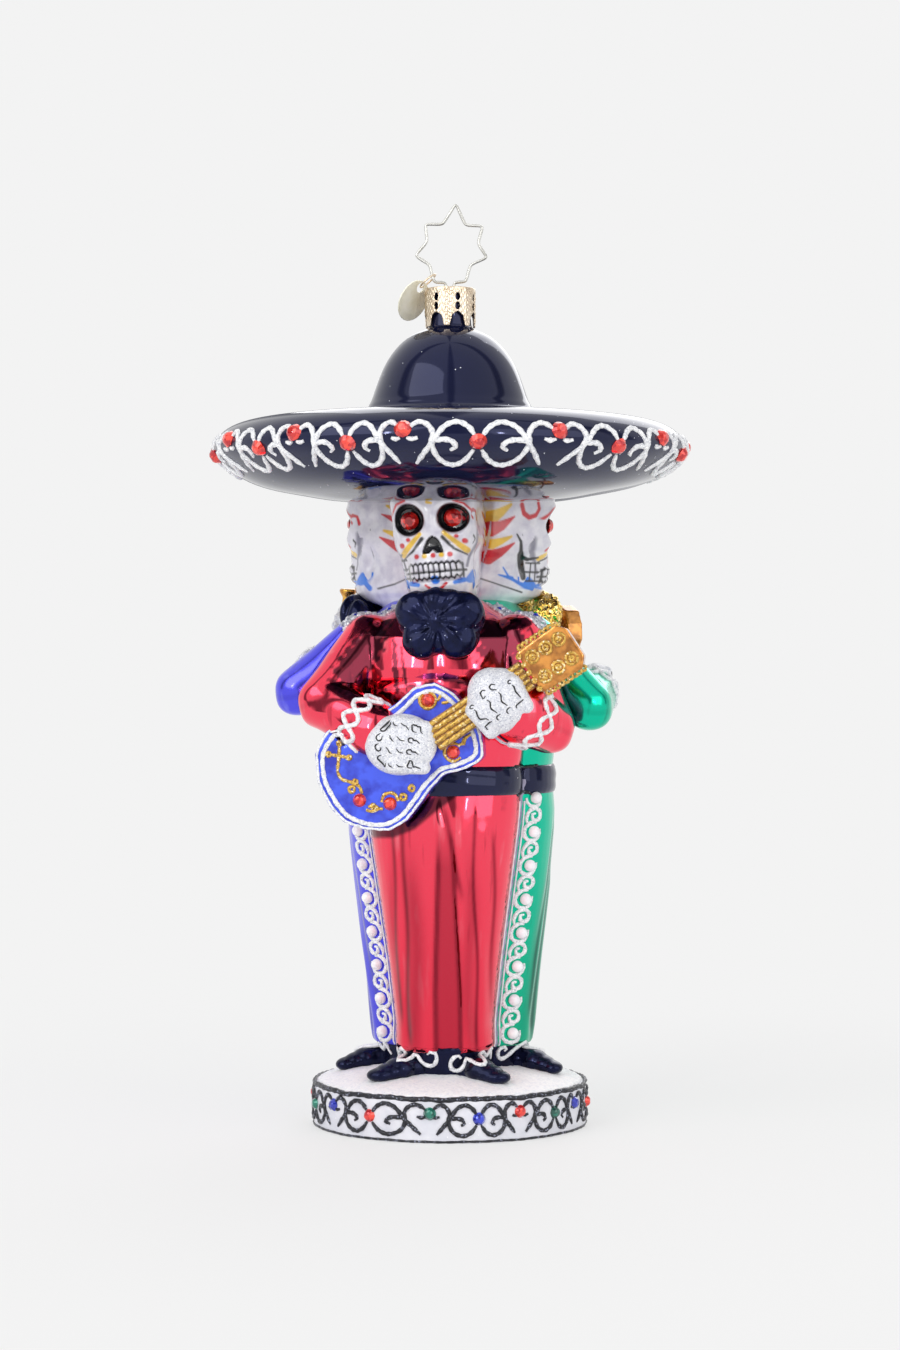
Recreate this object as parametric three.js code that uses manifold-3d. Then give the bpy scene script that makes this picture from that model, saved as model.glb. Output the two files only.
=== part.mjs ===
// Three skeleton mariachi players, back to back under one broad sombrero: a mould-blown,
// hand-painted glass tree ornament with a pressed crown cap, a wire star hanger and a round tag.
// Millimetres, +Z up. The origin is the centre of the base's underside. The guitar player
// faces -Y, the violin player is a third of a turn to its left, the trumpet player to its right.
import * as THREE from "three";
import { mergeVertices } from "three/addons/utils/BufferGeometryUtils.js";
import Module from "manifold-3d";

const wasm = await Module();
wasm.setup();

// Glass
const GLASS_WALL = 1.2;
const SEAM_GAP = 0.3;

// Round base
const BASE_RADIUS = 27.2;
const BASE_RIM_HEIGHT = 8.6;
const BASE_TOP_HEIGHT = 10.8;
const BASE_PLATEAU_RADIUS = 19.5;
const BASE_EDGE_ROUND = 0.8;
const BASE_THROAT_RADIUS = 4.5;

// Heights of one player, stacked from the base up
const ANKLE_HEIGHT = 4.4;
const TROUSER_LENGTH = 49.5;
const SASH_HEIGHT = 8.6;
const JACKET_LENGTH = 29.4;
const NECK_INSET = 3;
const SKULL_HEIGHT = 20.4;

// Shoes
const SHOE_LENGTH = 13.5;
const SHOE_HALF_WIDTH = 3.1;
const SHOE_SPREAD = 4.6;
const SHOE_TOE_OUT = 42;
const SHOE_HEEL_FORWARD = 8.6;

// Sombrero
const BRIM_RADIUS = 47.5;
const BRIM_FLAT_RADIUS = 22.6;
const BRIM_THICKNESS = 17.4;
const BRIM_EDGE_HEIGHT = 11.2;
const CROWN_RADIUS = 14.9;
const CROWN_HEIGHT = 15.8;
const CROWN_FLARE = 2;
const HAT_THROAT_RADIUS = 5;
const GLASS_NECK_RADIUS = 4.1;

// Crown cap
const CAP_RADIUS = 5.05;
const CAP_HEIGHT = 8.3;
const CAP_SHEET = 0.4;
const CAP_HOLE_RADIUS = 1.75;
const CAP_PETALS = 7;
const CAP_ARCH_HEIGHT = 2.9;
const CAP_ARCH_HALF_WIDTH = 1.65;
const CAP_WINDOW_HALF_WIDTH = 0.5;
const CAP_WINDOW_HALF_HEIGHT = 0.8;

// Wire star hanger
const WIRE_RADIUS = 0.35;
const STAR_POINTS = 7;
const STAR_RADIUS = 7.5;
const STAR_TOP_RADIUS = 9;
const STAR_RISE = 1;
const STAR_NOTCH_RADIUS = 5.2;
const STAR_CORNER = 0.7;
const LEG_SPACING = 0.75;
const LEG_BOW = 2.1;
const LEG_LENGTH = 13.5;

// Jump ring and tag
const RING_RADIUS = 2;
const RING_WIRE_RADIUS = 0.22;
const RING_TILT = 40;
const RING_PLAY = 0.75;
const RING_RISE = 1.15;
const TAG_RADIUS = 4.3;
const TAG_THICKNESS = 0.3;
const TAG_HOLE_RADIUS = 1.05;
const TAG_HOLE_INSET = 1.35;
const TAG_LEAN = 28;
const TAG_TWIST = 62;

// Face
const EYE_SPACING = 4.45;
const EYE_SOCKET_RADIUS = 2.8;
const EYE_SOCKET_DEPTH = 2.2;
const EYE_GEM_RADIUS = 1.6;
const EYE_GEM_DEPTH = 0.8;
const NOSE_RADIUS = 1.7;
const NOSE_DEPTH = 1.2;

// Necktie bow
const BOW_HALF_WIDTH = 9.2;
const BOW_HEIGHT = 13;
const BOW_DEPTH = 7.5;
const BOW_BEND = 6;

// Arms
const SLEEVE_SHOULDER_RADIUS = 5.6;
const SLEEVE_ELBOW_RADIUS = 5.2;
const SLEEVE_CUFF_RADIUS = 4.7;
const WRIST_SHARE = 0.95;

// Guitar
const GUITAR_THICKNESS = 5;
const GUITAR_TILT = 33.7;
const GUITAR_LOWER_BOUT = 10.7;
const GUITAR_UPPER_BOUT = 8.6;
const GUITAR_BODY_LENGTH = 31.5;
const GUITAR_NECK_HALF_WIDTH = 3;
const GUITAR_NECK_THICKNESS = 2.4;
const GUITAR_NECK_LENGTH = 22;
const GUITAR_HEAD_LENGTH = 10.6;
const GUITAR_HEAD_HALF_WIDTH = 4.9;

// Trumpet
const TRUMPET_TUBE_RADIUS = 1.3;
const TRUMPET_BELL_RADIUS = 4.6;

// Violin
const VIOLIN_THICKNESS = 3.2;
const VIOLIN_LOWER_BOUT = 5;
const VIOLIN_UPPER_BOUT = 4.1;
const VIOLIN_BODY_LENGTH = 17;
const VIOLIN_NECK_LENGTH = 11;
const VIOLIN_BOW_LENGTH = 27;
const VIOLIN_BOW_RADIUS = 0.55;

// Levels that follow from the stack
const ankleTop = BASE_TOP_HEIGHT + ANKLE_HEIGHT;
const waist = ankleTop + TROUSER_LENGTH;
const hem = waist + SASH_HEIGHT;
const collar = hem + JACKET_LENGTH;
const hatUnderside = collar + SKULL_HEIGHT;
const brimTop = hatUnderside + BRIM_THICKNESS;
const crownFoot = brimTop + CROWN_FLARE;
const crownTop = crownFoot + CROWN_HEIGHT;
const capTop = crownTop + CAP_HEIGHT;
const chin = collar + 1.5;

const rad = THREE.MathUtils.degToRad;

// Solids from meshes and back

function solidOf(geometry) {
  const bare = geometry.clone();
  bare.deleteAttribute("normal");
  bare.deleteAttribute("uv");
  const merged = mergeVertices(bare, 1e-4);
  return new wasm.Manifold(
    new wasm.Mesh({
      numProp: 3,
      vertProperties: merged.attributes.position.array,
      triVerts: new Uint32Array(merged.index.array),
    }),
  );
}

function geometryOf(solid) {
  const mesh = solid.getMesh();
  const points = new Float32Array(mesh.numVert * 3);
  for (let i = 0; i < mesh.numVert; i++)
    points.set(mesh.vertProperties.subarray(i * mesh.numProp, i * mesh.numProp + 3), i * 3);
  const geometry = new THREE.BufferGeometry();
  geometry.setAttribute("position", new THREE.BufferAttribute(points, 3));
  geometry.setIndex(new THREE.BufferAttribute(new Uint32Array(mesh.triVerts), 1));
  geometry.computeVertexNormals();
  return geometry;
}

// A boolean can leave crumbs: the piece is its largest body.
function largest(solid) {
  const bodies = solid.decompose();
  return bodies.reduce((best, body) => (body.volume() > best.volume() ? body : best));
}

// A closed skin through rings of equally many points, counter-clockwise seen against the travel.
function loft(rings) {
  const count = rings[0].length;
  const points = rings.flat();
  const faces = [];
  for (let r = 0; r + 1 < rings.length; r++)
    for (let i = 0; i < count; i++) {
      const a = r * count + i;
      const b = r * count + ((i + 1) % count);
      faces.push(a, b, a + count, b, b + count, a + count);
    }
  const middle = (ring) =>
    ring.reduce((sum, p) => sum.add(p), new THREE.Vector3()).divideScalar(count);
  const low = points.push(middle(rings[0])) - 1;
  const high = points.push(middle(rings.at(-1))) - 1;
  const last = (rings.length - 1) * count;
  for (let i = 0; i < count; i++) {
    const next = (i + 1) % count;
    faces.push(low, next, i, high, last + i, last + next);
  }
  const geometry = new THREE.BufferGeometry().setFromPoints(points);
  geometry.setIndex(faces);
  return geometry;
}

// An upright moulded form, facing -Y. Each station is [share of the height, half width,
// forward reach, backward reach]. crease draws in the front middle, as between two legs.
function column(stations, low, high, { grow = 0, sides = 24, power = 1, crease = 0 } = {}) {
  const squared = (v) => Math.sign(v) * Math.abs(v) ** power;
  const rings = stations.map(([share, halfWidth, front, back]) => {
    const z = low + share * (high - low);
    const centre = (front + back) / 2;
    const depth = (front - back) / 2 + grow;
    return Array.from({ length: sides }, (_, i) => {
      const a = (i / sides) * 2 * Math.PI;
      const dent = 1 - crease * Math.exp(-(((a - 1.5 * Math.PI) / 0.2) ** 2));
      const x = (halfWidth + grow) * squared(Math.cos(a));
      const y = -centre + depth * squared(Math.sin(a)) * dent;
      return new THREE.Vector3(x, y, z);
    });
  });
  return solidOf(loft(rings));
}

// A round tube of changing radius along points, with its rings square to the route.
function limb(points, radii, { grow = 0, sides = 10, steps = 7 } = {}) {
  const curve = new THREE.CatmullRomCurve3(points);
  const frames = curve.computeFrenetFrames(steps, false);
  const rings = Array.from({ length: steps + 1 }, (_, s) => {
    const share = s / steps;
    const slot = share * (radii.length - 1);
    const before = Math.min(Math.floor(slot), radii.length - 2);
    const radius = THREE.MathUtils.lerp(radii[before], radii[before + 1], slot - before) + grow;
    const centre = curve.getPointAt(share);
    return Array.from({ length: sides }, (_, i) => {
      const a = (i / sides) * 2 * Math.PI;
      return centre
        .clone()
        .addScaledVector(frames.normals[s], radius * Math.cos(a))
        .addScaledVector(frames.binormals[s], radius * Math.sin(a));
    });
  });
  return solidOf(loft(rings));
}

// A lathe turned about Z from [radius, height] points.
function turned(profile, segments) {
  const points = profile.map(([r, z]) => new THREE.Vector2(r, z));
  return solidOf(new THREE.LatheGeometry(points, segments).rotateX(Math.PI / 2));
}

// An ellipsoid with its poles along Z.
function ellipsoid(centre, radii, { across = 10, down = 7, turn = 0 } = {}) {
  const ball = new THREE.SphereGeometry(1, across, down).rotateX(Math.PI / 2);
  ball.scale(radii.x, radii.y, radii.z).rotateY(rad(turn));
  return solidOf(ball.translate(centre.x, centre.y, centre.z));
}

// A slab that stands in the XZ plane: outline points [x, z], from y = front to y = back.
function slab(outline, front, back) {
  const shape = new THREE.Shape(outline.map(([x, z]) => new THREE.Vector2(x, z)));
  const plate = new THREE.ExtrudeGeometry(shape, { depth: back - front, bevelEnabled: false });
  return solidOf(plate.rotateX(Math.PI / 2).translate(0, back, 0));
}

function box(low, high) {
  const size = new THREE.Vector3().subVectors(high, low);
  const middle = new THREE.Vector3().addVectors(low, high).divideScalar(2);
  const block = new THREE.BoxGeometry(size.x, size.y, size.z);
  return solidOf(block.translate(middle.x, middle.y, middle.z));
}

const at = (x, forward, z) => new THREE.Vector3(x, -forward, z);

// Each player keeps to its third of a turn, with half a seam on either side.
function third(inset) {
  const reach = 2 * BRIM_RADIUS;
  const apex = (inset + SEAM_GAP / 2) / Math.sin(rad(60));
  const side = reach * Math.tan(rad(60));
  const outline = [
    new THREE.Vector2(0, -apex),
    new THREE.Vector2(-side, -apex - reach),
    new THREE.Vector2(side, -apex - reach),
  ];
  const wedge = new THREE.ExtrudeGeometry(new THREE.Shape(outline), {
    depth: capTop,
    bevelEnabled: false,
  });
  return solidOf(wedge);
}

const wedge = third(0);
const innerWedge = third(GLASS_WALL);

// A glass shell: the form less itself drawn in by the wall, open at its top and bottom.
function shell(stations, low, high, options) {
  const outer = column(stations, low, high, options).intersect(wedge);
  const drawnIn = { ...options, grow: -GLASS_WALL, sides: 8 };
  const inner = column(stations, low - 0.5, high + 0.5, drawnIn).intersect(innerWedge);
  return outer.subtract(inner);
}

// Stations of the moulded forms

const trouserStations = [
  [0, 9.8, 16.6, -3.5],
  [0.12, 9.7, 16.7, -3.5],
  [0.35, 11, 17.8, -3.5],
  [0.65, 13, 19.3, -3.5],
  [0.88, 14.6, 20.3, -3.5],
  [1, 15.2, 20.5, -3.5],
];
const sashStations = [
  [0, 15.6, 20.9, -3.5],
  [0.5, 16, 21.4, -3.5],
  [1, 15.8, 21.1, -3.5],
];
const jacketStations = [
  [0, 15.6, 20.8, -3.5],
  [0.3, 16.6, 21.4, -3.5],
  [0.6, 17.6, 21.8, -3.5],
  [0.8, 17, 21, -3.5],
  [0.92, 13.4, 17.8, -3.5],
  [1, 9.2, 14.6, -3.5],
];
const neckShare = (z) => (z - (collar - NECK_INSET)) / (SKULL_HEIGHT + NECK_INSET);
const skullStations = [
  [neckShare(collar - NECK_INSET), 6.4, 12.6, -3],
  [neckShare(chin), 6.4, 13.4, -3],
  [neckShare(chin + 0.6), 6, 18.8, -3],
  [neckShare(chin + 2.6), 7.1, 20.2, -3],
  [neckShare(chin + 6), 7.5, 21.2, -3],
  [neckShare(chin + 9), 8, 21.2, -3],
  [neckShare(chin + 10.6), 8.8, 20.4, -3],
  [neckShare(chin + 13.2), 9.4, 20.8, -3],
  [neckShare(chin + 16), 9.3, 21, -3],
  [1, 9.4, 21.8, -3],
];

const skullForm = (grow) =>
  column(skullStations, collar - NECK_INSET, hatUnderside, { grow, sides: 20, power: 0.92 });
const jacketForm = (grow) => column(jacketStations, hem, collar, { grow, power: 0.95 });
const sashForm = (grow) => column(sashStations, waist, hem, { grow, power: 0.95 });
const trouserForm = (grow) => column(trouserStations, ankleTop, waist, { grow, power: 0.95 });

// Parts that every player shares

function makeTrousers() {
  return shell(trouserStations, ankleTop, waist, { power: 0.95, crease: 0.12 });
}

function makeSash() {
  return shell(sashStations, waist, hem, { power: 0.95 });
}

function makeJacket() {
  return shell(jacketStations, hem, collar, { power: 0.95 }).subtract(skullForm(SEAM_GAP));
}

const eyeLevel = chin + 15.2;
const browDepth = 19.6;
const faceDepth = 21.2;

// A dimple pressed into the skull: the glass behind it follows, one wall further in.
function pressed(skull, centre, radii, across) {
  const backing = radii.clone().addScalar(GLASS_WALL);
  const bulb = ellipsoid(centre, backing, { across }).intersect(skullForm(-GLASS_WALL / 2));
  return skull.add(bulb).subtract(ellipsoid(centre, radii, { across }));
}

function makeSkull() {
  const low = collar - NECK_INSET;
  let skull = shell(skullStations, low, hatUnderside, { sides: 20, power: 0.92 });
  const r = EYE_SOCKET_RADIUS;
  const socket = new THREE.Vector3(r * 0.95, EYE_SOCKET_DEPTH, r * 1.1);
  for (const side of [-1, 1])
    skull = pressed(skull, at(side * EYE_SPACING, browDepth, eyeLevel), socket, 12);
  const nose = new THREE.Vector3(NOSE_RADIUS, NOSE_DEPTH, NOSE_RADIUS * 1.1);
  return pressed(skull, at(0, faceDepth - 0.4, chin + 9.9), nose, 8);
}

function makeEyeGem(side) {
  const radii = new THREE.Vector3(EYE_GEM_RADIUS, EYE_GEM_DEPTH, EYE_GEM_RADIUS);
  const seat = browDepth - EYE_SOCKET_DEPTH + EYE_GEM_DEPTH + SEAM_GAP;
  return ellipsoid(at(side * EYE_SPACING, seat, eyeLevel), radii, { across: 8, down: 5 });
}

function makeShoe(side) {
  const heel = at(side * SHOE_SPREAD, SHOE_HEEL_FORWARD, BASE_TOP_HEIGHT);
  const out = rad(SHOE_TOE_OUT) * side;
  const forward = new THREE.Vector3(Math.sin(out), -Math.cos(out), 0);
  const toe = heel.clone().addScaledVector(forward, SHOE_LENGTH - SHOE_HALF_WIDTH * 2);
  const foot = limb([heel, toe], [SHOE_HALF_WIDTH, SHOE_HALF_WIDTH * 0.85], {
    sides: 10,
    steps: 3,
  });
  const ball = new THREE.Vector3(1, 1, 1).multiplyScalar(SHOE_HALF_WIDTH * 0.85);
  const ankle = column([[0, 4, 4.4, -4.4], [1, 4.3, 5, -5]], BASE_TOP_HEIGHT, ankleTop, { sides: 12 });
  const floor = box(
    new THREE.Vector3(-BRIM_RADIUS, -BRIM_RADIUS, BASE_TOP_HEIGHT),
    new THREE.Vector3(BRIM_RADIUS, BRIM_RADIUS, ankleTop),
  );
  const lane = side > 0
    ? box(new THREE.Vector3(SEAM_GAP / 2, -BRIM_RADIUS, 0), new THREE.Vector3(BRIM_RADIUS, 0, ankleTop))
    : box(new THREE.Vector3(-BRIM_RADIUS, -BRIM_RADIUS, 0), new THREE.Vector3(-SEAM_GAP / 2, 0, ankleTop));
  return foot
    .add(ellipsoid(toe, ball))
    .add(ankle.translate([heel.x, heel.y, 0]))
    .intersect(floor)
    .intersect(lane)
    .intersect(wedge);
}

// The bow's outline, right half from the bottom notch up to the top middle, as shares of
// the half width and the height.
const bowHalf = [
  [0, 0.1],
  [0.16, 0],
  [0.5, 0.03],
  [0.72, 0.2],
  [0.78, 0.36],
  [1, 0.44],
  [0.98, 0.7],
  [0.72, 0.93],
  [0.4, 0.9],
  [0, 0.84],
];

function makeBow() {
  const foot = collar - 9.6;
  const left = bowHalf.slice(1, -1).reverse().map(([x, z]) => [-x, z]);
  const outline = [...bowHalf, ...left];
  const layers = [
    [faceDepth - BOW_DEPTH / 2, 0.96],
    [faceDepth, 1],
    [faceDepth + BOW_DEPTH * 0.35, 0.9],
    [faceDepth + BOW_DEPTH / 2, 0.62],
    [faceDepth + BOW_DEPTH / 2, 0.25],
  ];
  const rings = layers.map(([forward, scale]) =>
    outline.map(([x, z]) =>
      at(
        x * BOW_HALF_WIDTH * scale,
        forward - BOW_BEND * x * x,
        foot + (0.5 + (z - 0.5) * scale) * BOW_HEIGHT,
      ),
    ),
  );
  return solidOf(loft(rings))
    .subtract(skullForm(SEAM_GAP))
    .subtract(jacketForm(SEAM_GAP))
    .intersect(wedge);
}

// Arms: shoulder, elbow and wrist of each sleeve, and the hand beyond it

const shoulder = (side) => at(side * 14.4, 11, collar - 6.8);

// The cuff ends inside the hand's reach, on the line from the elbow to the palm.
function wristOf(arm) {
  const back = new THREE.Vector3().subVectors(arm.elbow, arm.palm).normalize();
  return arm.palm.clone().addScaledVector(back, arm.hand.x * WRIST_SHARE);
}

function sleeveForm(side, arm, grow) {
  const joints = [shoulder(side), arm.elbow, wristOf(arm)];
  const radii = [SLEEVE_SHOULDER_RADIUS, SLEEVE_ELBOW_RADIUS, SLEEVE_CUFF_RADIUS];
  const ball = (k) => {
    const r = radii[k] + grow;
    return ellipsoid(joints[k], new THREE.Vector3(r, r, r), { across: 10, down: 6 });
  };
  const tube = (k) =>
    limb(joints.slice(k, k + 2), radii.slice(k, k + 2), { grow, sides: 10, steps: 1 });
  return ball(0).add(tube(0)).add(ball(1)).add(tube(1));
}

function makeSleeve(side, arm) {
  return sleeveForm(side, arm, 0)
    .subtract(jacketForm(SEAM_GAP))
    .subtract(skullForm(SEAM_GAP))
    .intersect(wedge);
}

function handForm(arm, grow) {
  const radii = arm.hand.clone().addScalar(grow);
  return ellipsoid(arm.palm, radii, { turn: arm.turn });
}

// Instruments, each in its own frame: u along the neck, v across it

function guitarOutline(grow) {
  const halfWidths = [
    [0, 0],
    [0.02, 0.42],
    [0.1, 0.8],
    [0.22, 0.98],
    [0.34, 1],
    [0.46, 0.88],
    [0.56, 0.76],
    [0.66, 0.76],
    [0.8, 0.82],
    [0.92, 0.7],
    [0.98, 0.4],
    [1, 0],
  ];
  const upperScale = GUITAR_UPPER_BOUT / (0.82 * GUITAR_LOWER_BOUT);
  const wide = (share, w) => w * GUITAR_LOWER_BOUT * (share > 0.6 ? upperScale : 1) + (w ? grow : 0);
  const along = (share) => (share - 0.87) * (GUITAR_BODY_LENGTH + 2 * grow);
  const lower = halfWidths.map(([share, w]) => [along(share), -wide(share, w)]);
  const upper = halfWidths.slice(1, -1).reverse().map(([share, w]) => [along(share), wide(share, w)]);
  return [...lower, ...upper];
}

const guitarPlace = { x: 4.1, z: hem + 6.7, front: 27.2 };

// Turns a flat outline into the leaning plane of an instrument.
function placed(outline, tilt, place) {
  const c = Math.cos(rad(tilt));
  const s = Math.sin(rad(tilt));
  return outline.map(([u, v]) => [place.x + u * c - v * s, place.z + u * s + v * c]);
}

const bar = (u0, u1, half) => [[u0, -half], [u1, -half], [u1, half], [u0, half]];

function guitarBodyForm(grow) {
  const { front } = guitarPlace;
  const outline = placed(guitarOutline(grow), GUITAR_TILT, guitarPlace);
  return slab(outline, -front - grow, -front + GUITAR_THICKNESS + grow);
}

function guitarNeckForm(grow) {
  const { front } = guitarPlace;
  const start = -4.4 - grow;
  const neck = bar(start, start + GUITAR_NECK_LENGTH + 2 * grow, GUITAR_NECK_HALF_WIDTH + grow);
  return slab(
    placed(neck, GUITAR_TILT, guitarPlace),
    -front - SEAM_GAP - GUITAR_NECK_THICKNESS - grow,
    -front - SEAM_GAP,
  );
}

function guitarHeadForm(grow) {
  const { front } = guitarPlace;
  const start = -4.4 + GUITAR_NECK_LENGTH + SEAM_GAP - grow;
  const end = start + GUITAR_HEAD_LENGTH + 2 * grow;
  const half = GUITAR_HEAD_HALF_WIDTH + grow;
  const outline = [
    [start, -half * 0.92],
    [end - 1.6, -half],
    [end, -half + 1.8],
    [end, half - 1.8],
    [end - 1.6, half],
    [start, half * 0.92],
  ];
  return slab(
    placed(outline, GUITAR_TILT, guitarPlace),
    -front - SEAM_GAP - GUITAR_NECK_THICKNESS - grow,
    -front + 1.4 + grow,
  );
}

const trumpetRoute = [
  at(0.4, 24.4, chin + 1.4),
  at(0.2, 25.6, collar - 3),
  at(0, 26.6, collar - 10),
  at(0, 27.6, collar - 17),
];

function trumpetForm(grow) {
  const r = TRUMPET_TUBE_RADIUS;
  const tube = limb(trumpetRoute, [r, r, r, r, r * 1.4], { grow, steps: 8 });
  const end = trumpetRoute.at(-1);
  const bell = turned(
    [
      [0, -3],
      [TRUMPET_BELL_RADIUS + grow, -3],
      [TRUMPET_BELL_RADIUS * 0.72 + grow, -1],
      [r * 1.5 + grow, 2.5],
      [r * 0.8 + grow, 3.5],
      [0, 3.5],
    ],
    14,
  );
  return tube.add(bell.rotate([-8, 0, 0]).translate([end.x, end.y, end.z]));
}

function violinOutline(grow) {
  const halfWidths = [
    [0, 0],
    [0.04, 0.6],
    [0.2, 1],
    [0.36, 0.9],
    [0.5, 0.6],
    [0.64, 0.66],
    [0.78, 0.82],
    [0.94, 0.6],
    [1, 0],
  ];
  const upperScale = VIOLIN_UPPER_BOUT / (0.82 * VIOLIN_LOWER_BOUT);
  const wide = (share, w) => w * VIOLIN_LOWER_BOUT * (share > 0.55 ? upperScale : 1) + (w ? grow : 0);
  const along = (share) => (share - 0.5) * (VIOLIN_BODY_LENGTH + 2 * grow);
  const lower = halfWidths.map(([share, w]) => [along(share), -wide(share, w)]);
  const upper = halfWidths.slice(1, -1).reverse().map(([share, w]) => [along(share), wide(share, w)]);
  return [...lower, ...upper];
}

const violinPlace = { x: 2.6, z: collar - 5.4, front: 26.6 };
const VIOLIN_TILT = -16;
const VIOLIN_BOW_TILT = 41;

function violinBodyForm(grow) {
  const { front } = violinPlace;
  const outline = placed(violinOutline(grow), VIOLIN_TILT, violinPlace);
  return slab(outline, -front - grow, -front + VIOLIN_THICKNESS + grow);
}

function violinNeckForm(grow) {
  const { front } = violinPlace;
  const start = VIOLIN_BODY_LENGTH / 2 + SEAM_GAP - grow;
  const neck = bar(start, start + VIOLIN_NECK_LENGTH, 1 + grow);
  const outline = placed(neck, VIOLIN_TILT, violinPlace);
  return slab(outline, -front - grow, -front + 2 + grow);
}

function violinBowForm(grow) {
  const { x, z, front } = violinPlace;
  const lean = rad(VIOLIN_BOW_TILT);
  const along = new THREE.Vector3(Math.cos(lean), 0, Math.sin(lean));
  const y = -front - SEAM_GAP - VIOLIN_BOW_RADIUS - grow;
  const middle = new THREE.Vector3(x, y + grow, z);
  const ends = [-0.64, 0.36].map((share) =>
    middle.clone().addScaledVector(along, share * VIOLIN_BOW_LENGTH),
  );
  return limb(ends, [VIOLIN_BOW_RADIUS, VIOLIN_BOW_RADIUS], { grow, sides: 6, steps: 2 });
}

// The three players

const arms = {
  guitar: {
    right: {
      elbow: at(-23.6, 18, hem + 10.8),
      palm: at(-7.2, 29, hem + 3),
      hand: new THREE.Vector3(7.3, 3.6, 5.8),
      turn: -24,
    },
    left: {
      elbow: at(22.8, 18, hem + 6),
      palm: at(13, 29.4, hem + 11.3),
      hand: new THREE.Vector3(6.2, 4.2, 6.4),
      turn: 20,
    },
  },
  trumpet: {
    right: {
      elbow: at(-23.4, 19.6, hem + 11.4),
      palm: at(-3.2, 27.6, collar - 2.8),
      hand: new THREE.Vector3(5, 3.8, 4.3),
      turn: 30,
    },
    left: {
      elbow: at(23.4, 19.6, hem + 11.4),
      palm: at(3.4, 28.4, collar - 11),
      hand: new THREE.Vector3(5.2, 3.8, 4.2),
      turn: -20,
    },
  },
  violin: {
    right: {
      elbow: at(-23.4, 19.6, hem + 11),
      palm: at(-9, 27.6, collar - 15.4),
      hand: new THREE.Vector3(5, 3.6, 4.4),
      turn: 14,
    },
    left: {
      elbow: at(23.4, 19.6, hem + 11),
      palm: at(16.4, 26.6, collar - 9.6),
      hand: new THREE.Vector3(4.4, 3.8, 4.4),
      turn: 10,
    },
  },
};

const instrumentForms = {
  guitar: [
    ["guitar_body", guitarBodyForm, "guitar_blue"],
    ["guitar_strings", guitarNeckForm, "guitar_gold"],
    ["guitar_headstock", guitarHeadForm, "wood_amber"],
  ],
  trumpet: [["trumpet", trumpetForm, "trumpet_gold"]],
  violin: [
    ["violin_body", violinBodyForm, "wood_amber"],
    ["violin_neck", violinNeckForm, "wood_amber"],
    ["violin_bow", violinBowForm, "trumpet_gold"],
  ],
};

// Materials

const finish = (color, roughness, metalness) =>
  new THREE.MeshStandardMaterial({ color, roughness, metalness });
const finishes = {
  sombrero_black: finish(0x14141c, 0.08, 0.1),
  base_white: finish(0xe9eaf0, 0.55, 0),
  skull_white: finish(0xe8e9ee, 0.35, 0.05),
  bone_white: finish(0xe4e5ea, 0.45, 0.05),
  bow_black: finish(0x14151c, 0.25, 0.05),
  bow_gold: finish(0xd9ad3c, 0.25, 0.9),
  jacket_red: finish(0xd81f33, 0.12, 0.85),
  jacket_blue: finish(0x3b39c9, 0.14, 0.8),
  jacket_green: finish(0x0ba37e, 0.14, 0.8),
  sash_black: finish(0x191b24, 0.3, 0.05),
  shoe_black: finish(0x111116, 0.15, 0.05),
  gem_red: finish(0xd81414, 0.05, 0.1),
  guitar_blue: finish(0x2b3bd0, 0.2, 0.5),
  guitar_gold: finish(0xc79b3b, 0.35, 0.7),
  wood_amber: finish(0xa9661f, 0.18, 0.5),
  trumpet_gold: finish(0xd8aa37, 0.18, 0.95),
  cap_gold: finish(0xe3c885, 0.22, 1),
  wire_silver: finish(0xd8d2c4, 0.2, 1),
  tag_gold: finish(0xdfd9bd, 0.2, 1),
};

function piece(name, solid, slot) {
  const mesh = new THREE.Mesh(geometryOf(largest(solid)), finishes[slot]);
  mesh.name = name;
  return mesh;
}

const cloth = {
  guitar: "jacket_red",
  trumpet: "jacket_blue",
  violin: "jacket_green",
};
const bowFinish = { guitar: "bow_black", trumpet: "bow_black", violin: "bow_gold" };
const sides = { right: -1, left: 1 };

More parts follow.
